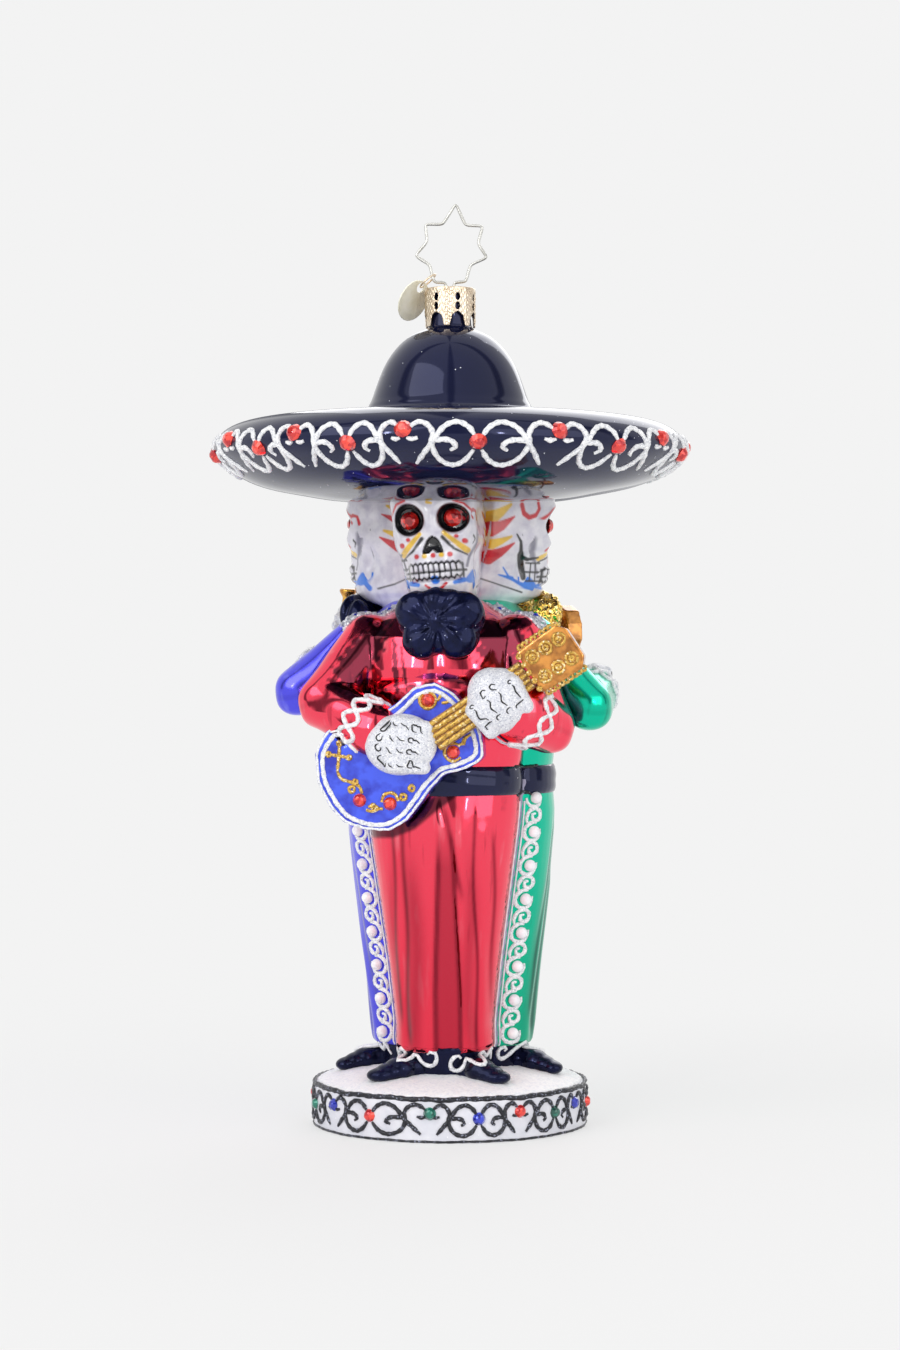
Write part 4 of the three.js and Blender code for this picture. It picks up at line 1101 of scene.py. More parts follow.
def arm_parts(side, arm):
    shoulder = at(side * 14.4, 11, COLLAR - 6.8)
    elbow, end, cuff = arm[0], wrist(arm), arm[4]
    bend = min(cuff, ELBOW_RADIUS)
    return [
        ball(shoulder, [SHOULDER_RADIUS] * 3),
        tube(shoulder, elbow, SHOULDER_RADIUS, bend),
        ball(elbow, [bend] * 3),
        tube(elbow, end, bend, cuff),
        ball(end, [cuff * 0.98] * 3),
    ]

# %% [markdown]
# ## The blown jackets
# A formula dents each melted form. The front jacket mirrors the dark hat and the guitar. Those shapes
# are marked on its points as a deep tint, because the plain studio has little that is dark to mirror.

# %% Blow the jackets
JACKET_STATIONS = [
    (70.9, 15.2, 20.5, -3.5), (72.4, 15.6, 20.8, -3.5), (82.1, 16.6, 21.4, -3.5), (90.9, 17.6, 21.8, -3.5),
    (96.8, 17, 21, -3.5), (100.3, 13.4, 17.8, -3.5), (102.9, 9.2, 14.6, -3.5), (104.4, 7, 13, -3.5),
]
# Painted dark reflections of the hat and the guitar on the front jacket.
PAINTED_DARK_REFLECTIONS = [
    # where each is across and up, its half sizes, and its lean
    (-15, 93.4, 3.4, 8.2, -34), (-12.6, 86.2, 6.6, 2.2, -24), (12.2, 96, 5, 6, 0), (14.4, 90, 3.2, 4.4, 30),
    (-8, 91, 0.6, 6.2, 4), (-6.2, 90.4, 0.35, 4.8, 8), (4.8, 88.4, 5.2, 0.7, -8), (-3, 87.6, 3.6, 0.4, 6),
    (0.4, 100.6, 12, 1.6, 0),
]


def painted_dark_reflection(x, z):
    """Painted reflections of the hat and the guitar on the chest and inner arms, with wavering edges."""
    dark = np.zeros(len(x))
    for across, up, wide, tall, lean in PAINTED_DARK_REFLECTIONS:
        c, s = math.cos(math.radians(lean)), math.sin(math.radians(lean))
        a, b = (x - across) * c + (z - up) * s, (z - up) * c - (x - across) * s
        waver = 0.16 * np.sin(2.3 * z + 1.7 * x) + 0.12 * np.sin(4.1 * x - 3.3 * z)
        dark = np.maximum(dark, 1 - step(np.hypot(a / wide, b / tall) + waver, 0.8, 1.06))
    return dark


def shape_jacket(piece, arms):
    """Dents the elbows and the chest, and marks painted shade and pooled lacquer, and painted reflections.
    """
    places, normals = points_of(piece), normals_of(piece)
    x, _, z = places.T
    push = np.zeros(len(places))
    pool = np.zeros(len(places))
    for side, arm in arms.items():
        elbow = np.array(arm[0])
        near = np.exp(-(((places - elbow) ** 2).sum(1)) / 60)
        fold = np.sin((z - elbow[2]) * 0.9 + (x - elbow[0]) * side * 0.5 + 0.4)
        push -= 0.22 * near * fold
        # Painted shade and pooled lacquer in the elbow folds.
        pool += 0.25 * near * step(fold, 0.7, 1)
    front = np.clip(-normals[:, 1], 0, 1)
    chest = ridge(z, 90.5, 5) * front
    push += chest * (0.35 * ridge(np.abs(x), 7.5, 4) - 0.3 * ridge(x, 0, 1.2))
    push -= 0.3 * ridge(z, 88.6 - 0.05 * x * x / 4, 0.9) * front * (np.abs(x) < 13)
    places += normals * push[:, None]
    move_points(piece, places)
    mark(piece, "pool", np.clip(pool, 0, 0.8))
    # Painted dark reflections of the hat and the guitar, on the front jacket only.
    if arms is ARMS["guitar"]:
        mark(piece, "dark", 0.85 * painted_dark_reflection(x, z) * step(front, 0.2, 0.6))


jackets = {}
for role, (colour, turn) in PLAYERS.items():
    parts = [moulded("jacket_form", JACKET_STATIONS)]
    for side, arm in ARMS[role].items():
        parts += arm_parts(side, arm)
    form = fused("jacket_form", parts, 0.38, rounds=6)
    shape_jacket(form, ARMS[role])
    made = turned_copy(form, colour + "_jacket", turn)
    drop_part(form)
    nodes = [f"{role}_player_{part}" for part in ("jacket", "right_sleeve", "left_sleeve")]
    jackets[role] = settle(made, CLOTH[colour], "jacket_" + colour, nodes=nodes)
jacket_surface = surface_of(*jackets.values())
print("points in each jacket:", [len(j.data.vertices) for j in jackets.values()])

# %% [markdown]
# ## Skulls
# Each head is a painted skull: sockets, a heart-shaped nose, teeth and cheekbones are moulded in the
# glass, and the paint follows them. One skull is sculpted on a fine skin by formulas over its front,
# then copied. The whole head is tipped a few degrees, as in the photograph.

# %% Sculpt a skull
SKULL_STATIONS = [
    (99.7, 6.4, 12.6, -3), (103.2, 6.4, 13.2, -3), (104.4, 6, 17.6, -3), (105.4, 6.6, 19.6, -3),
    (107, 7.1, 20.4, -3), (110.2, 7.5, 21.2, -3), (113.2, 7.9, 21.1, -3), (114.8, 8.6, 20.5, -3),
    (117.4, 9, 20.7, -3), (120.2, 8.9, 20.9, -3), (122.6, 9, 21.3, -3), (125.3, 9.1, 21.6, -3),
]
# A height and how square the plan is there: a round jaw under a squarer brow.
SKULL_SQUARENESS = ([112, 117], [2.2, 2.9])
HEAD_TIP = math.radians(4.5)
TIP_HEIGHT = 105.5
EYE_OFF, EYE_HEIGHT, NOSE_HEIGHT = 4.3, 119.7, 114.6
TOOTH_TOP, TOOTH_MIDDLE, TOOTH_FOOT, TOOTH_WIDTH = 111.2, 109.5, 107.8, 1.04


def heart(u, v):
    """Below 1 inside the nose: two lobes at its foot, narrowing to one point at its top."""
    rise = (v - (NOSE_HEIGHT - 1.5)) / 3.2
    width = 1.95 * np.sqrt(np.clip(1 - np.clip(rise, 0, 1) ** 1.4, 0.01, 1))
    across = np.abs(u) / width
    notch = 0.6 * ridge(u, 0, 0.5)
    foot = np.where(rise < notch * 0.35, 1 + (notch * 0.35 - rise) * 3, 0)
    return np.maximum(across, np.maximum(np.abs(rise - 0.5) * 2 * 0.98, foot))


def shape_skull(piece):
    """Presses the features into the front of a head, and the hollows into its sides."""
    places, normals = points_of(piece), normals_of(piece)
    u, y, v = places.T
    front = np.clip((-normals[:, 1] - 0.25) / 0.35, 0, 1) * (y < -10)
    out = np.zeros(len(places))
    for side in (1, -1):
        # A socket and its rim, a cheekbone and the hollow under it, and one side of the nose.
        away = np.hypot((u - side * EYE_OFF) / 2.95, (v - EYE_HEIGHT) / 2.85)
        out -= 2.3 * (1 - step(away, 0.72, 1.08))
        out += 0.4 * ridge(away, 1.25, 0.22)
        out += 0.75 * ridge(u, side * 6.6, 1.6) * ridge(v, 115.4, 1.2)
        out -= 1.1 * ridge(u, side * 6.3, 1.3) * ridge(v, 111.6, 1.9)
        out -= 0.35 * ridge(u, side * 1.7, 0.7) * ridge(v, 117, 2)
    # The nose, with its bridge above it.
    out -= 1.3 * (1 - step(heart(u, v), 0.8, 1.1))
    out += 0.35 * ridge(u, 0, 1.1) * ridge(v, 117.6, 1.8)
    # The teeth stand out as one band, with grooves between them and along its middle.
    mouth = window(v, TOOTH_FOOT, TOOTH_TOP, 0.7) * window(u, -5.0, 5.0, 0.9)
    out += 0.5 * mouth
    tooth = np.abs(((u / TOOTH_WIDTH) % 1) - 0.5) * 2
    out -= 0.3 * mouth * step(tooth, 0.72, 0.98)
    out -= 0.3 * mouth * ridge(v, TOOTH_MIDDLE, 0.3)
    # The chin, and the crease above it.
    out += 0.45 * ridge(u, 0, 2.4) * ridge(v, 106.1, 1.2)
    out -= 0.5 * ridge(v, 107.6, 0.6) * window(u, -5, 5, 2)
    places[:, 1] -= out * front
    # Hollows behind the cheek and at the temple.
    side_on = np.clip((np.abs(normals[:, 0]) - 0.55) / 0.3, 0, 1)
    cheek = 0.9 * ridge(-y, 12.4, 1.3) * ridge(v, 111.6, 2.4)
    temple = 0.6 * ridge(-y, 12.6, 2.6) * ridge(v, 119, 2.6)
    hollow = cheek + temple
    places[:, 0] -= np.sign(u) * hollow * side_on
    move_points(piece, places)


def tip_head(points):
    """The tip of the head to one side, for points already in place."""
    tipped = np.array(points, float)
    up = tipped[:, 2] - TIP_HEIGHT
    share = np.clip((tipped[:, 2] - 103) / 3, 0, 1)
    tipped[:, 0] -= up * math.sin(HEAD_TIP) * share
    tipped[:, 2] += points[:, 0] * math.sin(HEAD_TIP) * share * np.clip((123.4 - points[:, 2]) / 4, 0, 1)
    return tipped


plain_head = squared(moulded("skull_form", SKULL_STATIONS, 64), SKULL_STATIONS, SKULL_SQUARENESS)
head = fused("skull_form", [plain_head], 0.22, rounds=5)
shape_skull(head)
apply(head, "SMOOTH", factor=0.4, iterations=1)
print("points in each skull:", len(head.data.vertices))

# %% [markdown]
# ## Painting the skulls
# The paint is dots, strokes and flames from a small brush. Each mark is a distance formula over the
# face, softened at its edge, and mixed into a colour that is kept on the points of the mesh. The skin
# is fine enough, at about a fifth of a millimetre, to hold a liner's stroke.

# %% Brush helpers
BONE_WHITE, INK, SHADE_GREY = "#E9E7EE", "#17171C", "#8F8D9A"
PAINT_RED, PAINT_YELLOW, PAINT_BLUE = "#D2222F", "#F2C53A", "#2E7FE6"


def near_path(u, v, path, start_width, end_width, soft=0.14):
    """How far a brush stroke covers each point: 1 under the stroke, 0 away from it."""
    cover = np.zeros(len(u))
    path = np.asarray(path, float)
    lengths = np.concatenate([[0], np.cumsum(np.hypot(*np.diff(path, axis=0).T))])
    for k in range(len(path) - 1):
        a, b = path[k], path[k + 1]
        along = b - a
        t = np.clip(((u - a[0]) * along[0] + (v - a[1]) * along[1]) / (along @ along), 0, 1)
        distance = np.hypot(u - a[0] - t * along[0], v - a[1] - t * along[1])
        share = (lengths[k] + t * (lengths[k + 1] - lengths[k])) / lengths[-1]
        half = (start_width + (end_width - start_width) * share) / 2
        cover = np.maximum(cover, 1 - step(distance, half - soft, half + soft))
    return cover


def brush(paint, cover, colour):
    """Mixes a colour into the paint by how far a mark covers each point."""
    share = cover[:, None]
    paint[:] = paint * (1 - share) + np.array(linear(colour)[:3]) * share


# Strokes on the two sides of a head, as places forward and up, with a width at each end.
FLAMES = [
    ([(4.9, 121), (6.8, 121.9), (9, 123.2)], 2.5, 0.6, PAINT_YELLOW),
    ([(4.8, 118.9), (7, 119.6), (10, 121.2)], 2.9, 0.3, PAINT_RED),
    ([(5.1, 116), (7, 116.6), (9.4, 117.6)], 2.1, 0.5, PAINT_YELLOW),
    ([(4.9, 113.4), (7, 114.3), (10.2, 116.3)], 3.0, 0.3, PAINT_RED),
]
FLANK_MARKS = {
    -1: FLAMES + [
        (
            [(11.6, 123.2), (12.2, 121.8), (13.6, 121.1), (15.1, 121.5), (15.8, 122.6), (15.5, 123.6)], 1.0,
            0.7, PAINT_RED,
        ),
        ([(8.2, 111.4), (9.8, 109.4), (12.6, 108.2), (15.9, 107.2)], 0.3, 1.1, PAINT_BLUE),
        ([(7.3, 109.9), (10.6, 109.2)], 0.3, 0.9, PAINT_BLUE),
        ([(10.8, 118), (11.8, 116.6), (12.1, 114)], 0.4, 1.1, INK),
        ([(12.1, 114), (12.6, 112.4), (13.4, 109.4)], 1.6, 1.2, INK),
        ([(12.2, 113.6), (14, 113), (16.8, 113.4)], 1.0, 0.3, INK),
        ([(13.5, 110.5), (18, 110.4)], 0.36, 0.36, INK), ([(13.8, 112.3), (18, 112.2)], 0.34, 0.34, INK),
        ([(14, 108.7), (18, 108.6)], 0.34, 0.34, INK), ([(14.9, 112.2), (14.9, 108.8)], 0.32, 0.32, INK),
        ([(16.2, 112.2), (16.3, 108.8)], 0.32, 0.32, INK),
        ([(3.2, 109.2), (8, 107.8), (13.4, 106.4)], 0.24, 0.34, INK),
    ],
    1: FLAMES + [
        ([(14.8, 119.2), (15.4, 120.9), (16.9, 121.4), (18.1, 120.4), (17, 119.4)], 0.8, 0.6, PAINT_RED),
        ([(16.6, 116), (15.8, 115.4), (16.3, 114.6)], 0.5, 0.3, INK),
        ([(14.8, 108.4), (13.9, 107.4), (13, 106.4)], 0.9, 1.2, PAINT_BLUE),
        ([(11.2, 106.2), (8, 107), (4.6, 108.5)], 0.34, 0.22, INK),
    ],
}


LIP_DOTS = ((-3.3, PAINT_RED), (-1.7, PAINT_YELLOW), (0, PAINT_RED), (1.6, PAINT_YELLOW), (3.2, PAINT_RED))


def paint_skull(piece):
    """Paints the eyes, the marks, the nose and the teeth, and keeps the colours on the mesh."""
    places, normals = points_of(piece), normals_of(piece)
    u, v, forward = places[:, 0], places[:, 2], -places[:, 1]
    front = ((normals[:, 1] < -0.12) & (forward > 12)).astype(float)
    flank = ((np.abs(normals[:, 0]) > 0.5) & (forward < 17.6)).astype(float)
    paint = np.tile(np.array(linear(BONE_WHITE)[:3]), (len(places), 1))

    def front_stroke(path, start, end, colour):
        brush(paint, near_path(u, v, path, start, end) * front, colour)

    for side in (1, -1):
        eye = np.hypot((u - side * EYE_OFF) / 3.1, (v - EYE_HEIGHT) / 3.0)
        brush(paint, (1 - step(eye, 0.95, 1.05)) * front, INK)
        mirror = side * u
        marks = [
            ([(2.3, 116.9), (6.2, 113.3)], 0.75, 1.25, PAINT_YELLOW),
            ([(2.0, 116.0), (4.0, 113.7), (6.2, 112.4)], 0.75, 0.3, INK),
            ([(8.5, 118), (7.9, 114.6), (6.4, 112), (5.9, 110.2)], 0.3, 0.45, SHADE_GREY),
            ([(4.8, 123.2), (6.6, 122.6), (7.9, 121)], 0.5, 0.5, PAINT_RED),
            ([(4.65, 116), (4.75, 116)], 0.8, 0.8, PAINT_RED),
            ([(6.1, 115), (6.2, 115)], 1.0, 1.0, PAINT_RED),
            ([(3.6, 107.2), (5.2, 107.6)], 0.8, 1.0, PAINT_BLUE),
            ([(6.1, 107.6), (6.8, 109.3)], 1.3, 0.5, PAINT_BLUE),
        ]
        for path, start, end, colour in marks:
            brush(paint, near_path(mirror, v, path, start, end) * front * (mirror > 0), colour)
    brush(paint, (1 - step(heart(u, v), 0.98, 1.1)) * front, INK)
    for place, colour in LIP_DOTS:
        front_stroke([(place, 112.6), (place + 0.05, 112.6)], 1.0, 1.0, colour)
    front_stroke([(0, 107.9), (0.05, 107.9)], 1.7, 1.7, PAINT_BLUE)
    smile = [(-2, 107), (-1, 106.2), (0, 105.9), (1, 106.2), (2, 107.1)]
    front_stroke(smile, 0.5, 0.6, PAINT_RED)
    front_stroke([(-0.4, 122.9), (0.4, 122.7)], 0.6, 0.5, PAINT_YELLOW)
    outline = []
    for k in range(-5, 6):
        outline.append((k * TOOTH_WIDTH, TOOTH_TOP - 0.35 - (0.25 if abs(k) == 5 else 0)))
        if k < 5:
            outline.append(((k + 0.5) * TOOTH_WIDTH, TOOTH_TOP + 0.05))
    front_stroke(outline, 0.42, 0.42, INK)
    foot = [(x, 2 * TOOTH_MIDDLE - y + (0.25 if abs(x) < 4 else 0.5)) for x, y in outline]
    front_stroke(foot, 0.36, 0.36, INK)
    bite = [(-5.7, TOOTH_MIDDLE), (0, TOOTH_MIDDLE - 0.12), (5.7, TOOTH_MIDDLE)]
    front_stroke(bite, 0.46, 0.46, INK)
    for k in range(-5, 6):
        line = [(k * TOOTH_WIDTH, TOOTH_TOP - 0.3), (k * TOOTH_WIDTH + 0.08, TOOTH_MIDDLE)]
        front_stroke(line, 0.34, 0.34, INK)
        lean = [(k * TOOTH_WIDTH + 0.1, TOOTH_MIDDLE), (k * TOOTH_WIDTH + 0.02, TOOTH_FOOT + 0.45)]
        if k % 2 == 1 or abs(k) == 5 or k == 0:
            front_stroke(lean, 0.34, 0.34, INK)
    for side, strokes in FLANK_MARKS.items():
        for path, start, end, colour in strokes:
            brush(paint, near_path(forward, v, path, start, end) * flank * (side * u > 0), colour)
    brush(paint, step(104.6 - v, 0, 1.2) * 0.18, SHADE_GREY)
    layer = piece.data.attributes.new("paint", "FLOAT_COLOR", "POINT")
    layer.data.foreach_set(
        "color", np.column_stack([paint, np.ones(len(paint))]).astype(np.float32).ravel(),
    )

# %% [markdown]
# ## Painted bone
# The skulls are white enamel with the face's colours on top, under a thin varnish. The material reads
# the colours from the mesh and clouds them a little. One painted head is copied for each player.

# %% Painted bone finish
def painted_bone():
    made, tree, shader, place = finish(
        "painted_white_enamel_on_glass", Roughness=0.24, Coat_Weight=0.8, Coat_Roughness=0.08,
    )
    drift = add(tree, "ShaderNodeTexNoise", {0: place, "Scale": per_mm(2.4), "Detail": 4.0})
    tint = add(
        tree, "ShaderNodeValToRGB", {0: drift.outputs[0]}, stops=[(0.3, "#DDDBE6"), (0.62, "#FFFFFF")],
    )
    paint = add(tree, "ShaderNodeAttribute", attribute_name="paint")
    mixed = add(
        tree, "ShaderNodeMix", {0: 1.0, 6: paint.outputs["Color"], 7: tint.outputs[0]}, data_type="RGBA",
        blend_type="MULTIPLY",
    )
    tree.links.new(mixed.outputs[2], shader.inputs["Base Color"])
    bump = add(tree, "ShaderNodeBump", {"Height": drift.outputs[0], "Strength": 0.25, "Distance": 0.0002})
    tree.links.new(bump.outputs[0], shader.inputs["Normal"])
    return made


PAINTED_BONE = painted_bone()
paint_skull(head)
move_points(head, tip_head(points_of(head)))
# How much further forward than the guitar player's each face was blown, in millimetres.
LONGER_FACE = {"guitar": 0, "violin": -0.6, "trumpet": 2.8}


def lengthened(points, role):
    out = np.array(points, float)
    out[:, 1] -= LONGER_FACE[role] * step(-out[:, 1], 5, 15)
    return out


skulls = {}
for role, (colour, turn) in PLAYERS.items():
    made = turned_copy(head, colour + "_skull", 0)
    move_points(made, turned_points(lengthened(points_of(made), role), turn))
    skulls[role] = settle(made, PAINTED_BONE, "skull_white", nodes=[role + "_player_skull"])
drop_part(head)
eyes = []
for role, (colour, turn) in PLAYERS.items():
    sockets = tip_head(np.array([(side * (EYE_OFF - 0.1), -19.3, EYE_HEIGHT - 0.05) for side in (1, -1)]))
    facing = turned_points([(0, -1, 0)], turn)[0]
    eyes += [(point, facing) for point in turned_points(lengthened(sockets, role), turn)]
eye_stones = strewn("eye_stones", stone(2.05, 0.7), eyes, EYE_RED, "gem_red")
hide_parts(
    *[f"{role}_player_{side}_eye_gem" for role in PLAYERS for side in ("right", "left")]
)
print("skulls and eye stones:", len(skulls), len(eyes))

# %% [markdown]
# ## Bow ties
# The tie is two fat puffs above two smaller ones, with a knot in the middle, and smaller lumps wrap
# back round the neck. Gathers run out from the knot. Two are black enamel with glitter, and one was laid
# with gold leaf, whose skin is crumpled like foil.

# %% Tie the bows
def gold_leaf():
    made, tree, shader, place = finish("gold_leaf_on_glass", Metallic=1.0, Roughness=0.2)
    crinkle = add(tree, "ShaderNodeTexVoronoi", {0: place, "Scale": per_mm(1.1)}, distance="CHEBYCHEV")
    tone = add(
        tree, "ShaderNodeValToRGB", {0: crinkle.outputs[0]},
        stops=[(0, "#FFEFB0"), (0.5, "#EBC25C"), (1, "#C4943C")],
    )
    tree.links.new(tone.outputs[0], shader.inputs["Base Color"])
    bump = add(tree, "ShaderNodeBump", {"Height": crinkle.outputs[0], "Strength": 0.9, "Distance": 0.0004})
    tree.links.new(bump.outputs[0], shader.inputs["Normal"])
    return made


GOLD_LEAF = gold_leaf()
BOW_BLACK = gloss_paint(
    "black_enamel_with_sugar_glitter", "#141836", "#090B1A", 1.6, 0.12, dust="#B9BED0", shine=0.36,
    glow="#AEB8FF",
)
KNOT_HEIGHT = 99.8
# The ties of the two players at the sides are pressed flatter against them.
SIDE_BOW_FOOT, SIDE_BOW_DEPTH = 15, 0.72


def bow_form():
    parts = [
        ball(at(0.9, 23.5, KNOT_HEIGHT), (2.2, 1.5, 2.6)),
        ball(at(0.8, 22.2, 103.6), (5.2, 2.5, 2.8)),
        ball(at(0.9, 21.8, 96), (5, 2.4, 2.6)),
        ball(at(0.9, 21.5, 99.6), (8.1, 2.7, 5.0)),
    ]
    for side in (1, -1):
        parts += [
            ball(at(0.9 + side * 4.3, 22.3, 101.6), (4.4, 2.8, 4.1), side * -8),
            ball(at(0.9 + side * 6.2, 19.2, 101.1), (2.3, 3.5, 3.6), side * -8),
            ball(at(0.9 + side * 3.4, 22.4, 96.5), (4.0, 2.8, 3.8), side * 28),
            ball(at(0.9 + side * 5.0, 20.2, 96.8), (2.6, 3.1, 2.9), side * 20),
        ]
    form = fused("bow_form", parts, 0.26, rounds=4, third=False)
    places, normals = points_of(form), normals_of(form)
    turn = np.arctan2(places[:, 2] - KNOT_HEIGHT, places[:, 0] - 0.3)
    away = np.hypot(places[:, 2] - KNOT_HEIGHT, places[:, 0] - 0.3)
    gathers = 0.16 * np.sin(turn * 11 + 0.4 * away) * window(away, 1.4, 7.4, 2.2)
    places += normals * gathers[:, None]
    move_points(form, places)
    return form


form = bow_form()
bows = {}
for role, (colour, turn) in PLAYERS.items():
    made = turned_copy(form, colour + "_bow_tie", 0)
    leafed = role == "violin"
    places = points_of(made)
    if role != "guitar":
        places[:, 1] = -SIDE_BOW_FOOT - (-places[:, 1] - SIDE_BOW_FOOT) * SIDE_BOW_DEPTH
    move_points(made, turned_points(places, turn))
    if leafed:
        places, normals = points_of(made), normals_of(made)
        crumple = np.sin(places[:, 0] * 3.1) * np.sin(places[:, 1] * 2.7 + 1) * np.sin(places[:, 2] * 3.4)
        move_points(made, places + normals * (0.28 * crumple)[:, None])
    slot = "bow_gold" if leafed else "bow_black"
    bows[role] = settle(
        made, GOLD_LEAF if leafed else BOW_BLACK, slot, nodes=[role + "_player_bow_tie"], smooth=60,
    )
drop_part(form)
print("bow ties:", {k: len(v.data.vertices) for k, v in bows.items()})

# %% [markdown]
# ## Hands
# The hands are blocky mitts in white glitter, with the bones drawn on in black liner: a row of dashes
# for each finger and small loops for the knuckles. The palm and fingers are lumps melted together.

# %% Shape the hands
def hand_axes(arm):
    """Along the fingers and across them. A left hand on the guitar's neck reaches down over it."""
    elbow, palm = arm[:2]
    along = palm - elbow
    along = Vector((along.x, along.y * 0.25, along.z)).normalized()
    if arm is ARMS["guitar"][1]:
        along = Vector((0.55, 0, -0.83))
    if arm is ARMS["guitar"][-1]:
        along = Vector((0.99, 0, -0.12))
    across = Vector((0, -1, 0)).cross(along).normalized()
    return along, across


def hand_form(arm):
    _, palm, (long, deep, wide), turn, _ = arm
    along, across = hand_axes(arm)
    parts = [
        ball(palm, (long * 0.95, deep, wide), turn),
        ball(palm - along * long * 0.35, (wide * 0.72, deep * 0.96, wide * 0.72)),
    ]
    finger = wide * 0.27
    for k in range(4):
        off = (k - 1.5) * finger * 1.72
        reach = long * (0.72 - 0.05 * abs(k - 1))
        root = palm + across * off - along * long * 0.15 + Vector((0, -deep * 0.56, 0))
        tip = palm + across * off * 0.92 + along * reach + Vector((0, -deep * 0.2, 0))
        parts += [
            tube(root, tip, finger, finger * 0.86), ball(root, [finger] * 3),
            ball(tip, [finger * 0.86] * 3),
        ]
    return fused("hand_form", parts, 0.26, rounds=3, third=False)


# Strokes along a finger, as places along the hand in shares of its length and across in millimetres.
FINGER_STROKES = {
    "picking": [
        [(-0.62, 0.95), (-0.74, 0.5), (-0.76, -0.3), (-0.66, -0.85), (-0.54, -0.6), (-0.52, 0.3)],
        [(-0.36, 0.5), (-0.3, -0.3), (-0.16, -0.7)],
        [(-0.06, 0.45), (0.03, -0.2), (0.16, -0.3)],
        [(0.42, -0.5), (0.3, -0.4), (0.27, 0.3), (0.37, 0.55), (0.44, 0.1), (0.53, 0.1), (0.66, -0.5)],
    ],
    "fretting": [
        [(-0.5, 0.75), (-0.6, 0.2), (-0.55, -0.6), (-0.4, -0.6), (-0.36, 0.2)],
        [(-0.24, 0.1), (-0.08, 0.32), (0.1, -0.2), (0.28, 0.1), (0.4, 0.35)],
        [(0.52, 0.75), (0.52, -0.1), (0.62, -0.5), (0.72, -0.3)],
    ],
}


def bone_marks(arm, surface, turn):
    """Loops at the knuckles and strokes along the fingers, drawn on the side that shows."""
    _, palm, (long, deep, wide) = arm[:3]
    along, across = hand_axes(arm)
    strokes = FINGER_STROKES["fretting" if arm is ARMS["guitar"][1] else "picking"]
    lines = []
    for k in range(4):
        middle = (k - 1.5) * wide * 0.43
        bow = -0.08 * abs(k - 1.5) ** 2 / 2
        for stroke in strokes:
            line = []
            for a, b in stroke:
                place = palm + along * (long * (a * 0.92 - bow)) + across * (middle + b * wide * 0.17)
                line.append(np.array(place + Vector((0, -deep * 1.25, 0))))
            lines.append(smooth_line(line, 0.3))
    return [dropped(turned_points(line, turn), surface) for line in lines]


HAND_WHITE = glitter("white_glitter_on_white_enamel", "#B9BCC9", "#E4E5EB", "#FFFFFF", 0.22, 0.0, 0.32)
hands, marks = {}, []
for role, (colour, turn) in PLAYERS.items():
    for side, arm in ARMS[role].items():
        word = "left" if side > 0 else "right"
        form = hand_form(arm)
        made = turned_copy(form, f"{colour}_{word}_hand", turn)
        drop_part(form)
        hands[role, side] = settle(
            made, HAND_WHITE, "bone_white", nodes=[f"{role}_player_{word}_hand"], smooth=70,
        )
        marks += bone_marks(arm, surface_of(made), turn)
beads("bone_marks", marks, 0.16, LINE_BLACK, "bow_black", taper=0.5)
print("hands:", len(hands), "strokes on them:", len(marks))

# %% [markdown]
# ## Cuffs
# A lace edge is piped round each wrist: two waves of white glitter that cross like the links of a
# chain, with a pearl where they meet.

# %% Pipe the cuffs
def cuff_ring(arm, shift, waves, swing, count=120):
    """A wavy ring round the end of the sleeve, with its waves running along the arm."""
    elbow, _, size, _, cuff = arm
    end = wrist(arm)
    back = (elbow - end).normalized()
    one = back.cross(Vector((0, 0, 1))).normalized()
    two = back.cross(one)
    centre = end + back * (size[0] * 0.16 + shift)
    ring = []
    for k in range(count + 1):
        t = 2 * math.pi * k / count
        outward = (one * math.cos(t) + two * math.sin(t)) * (cuff + 0.4)
        ring.append(centre + outward + back * swing * math.sin(waves * t))
    return ring


lace, pearls = [], []
LINKS, LACE_SWING, LACE_BACK = 5, 2.0, 1.3
for role, (colour, turn) in PLAYERS.items():
    for arm in ARMS[role].values():
        for swing in (LACE_SWING, -LACE_SWING):
            lace.append(
                dropped(turned_points(cuff_ring(arm, LACE_BACK, LINKS, swing), turn), jacket_surface, 0.1)
            )
        knots = cuff_ring(arm, LACE_BACK, LINKS, 0, count=2 * LINKS)[:-1]
        pearls += list(dropped(turned_points(knots, turn), jacket_surface, 0.15))
beads("cuff_lace", lace, 0.5, WHITE_GLITTER, "base_white")
cuff_pearl = primitive(bpy.ops.mesh.primitive_ico_sphere_add, subdivisions=2, radius=0.6 * MM)
strewn("cuff_pearls", cuff_pearl, [(p, (0, 0, 1)) for p in pearls], PEARL, "base_white")
print("pearls on the cuffs:", len(pearls))

# %% [markdown]
# ## The guitar
# The body is blue enamel over silvering, framed by two lines of white glitter. Gold glitter scrolls, a
# cross shape and red stones decorate its face. Five thick gold lines are the strings, and the amber
# headstock carries six rosettes, with frilled pegs along both of its edges.

# %% Guitar finishes
def silvered_enamel(name, colour, thick, metallic, size):
    """Half clear enamel over silvering: a soft mirror whose colour gathers in clouds."""
    made, tree, shader, place = finish(
        name, Metallic=metallic, Roughness=0.22, Coat_Weight=0.7, Coat_Roughness=0.05,
    )
    clouds = add(tree, "ShaderNodeTexNoise", {0: place, "Scale": per_mm(size), "Detail": 4.0})
    tone = add(tree, "ShaderNodeValToRGB", {0: clouds.outputs[0]}, stops=[(0.36, thick), (0.58, colour)])
    tree.links.new(tone.outputs[0], shader.inputs["Base Color"])
    bump = add(tree, "ShaderNodeBump", {"Height": clouds.outputs[0], "Strength": 0.4, "Distance": 0.0003})
    tree.links.new(bump.outputs[0], shader.inputs["Normal"])
    return made


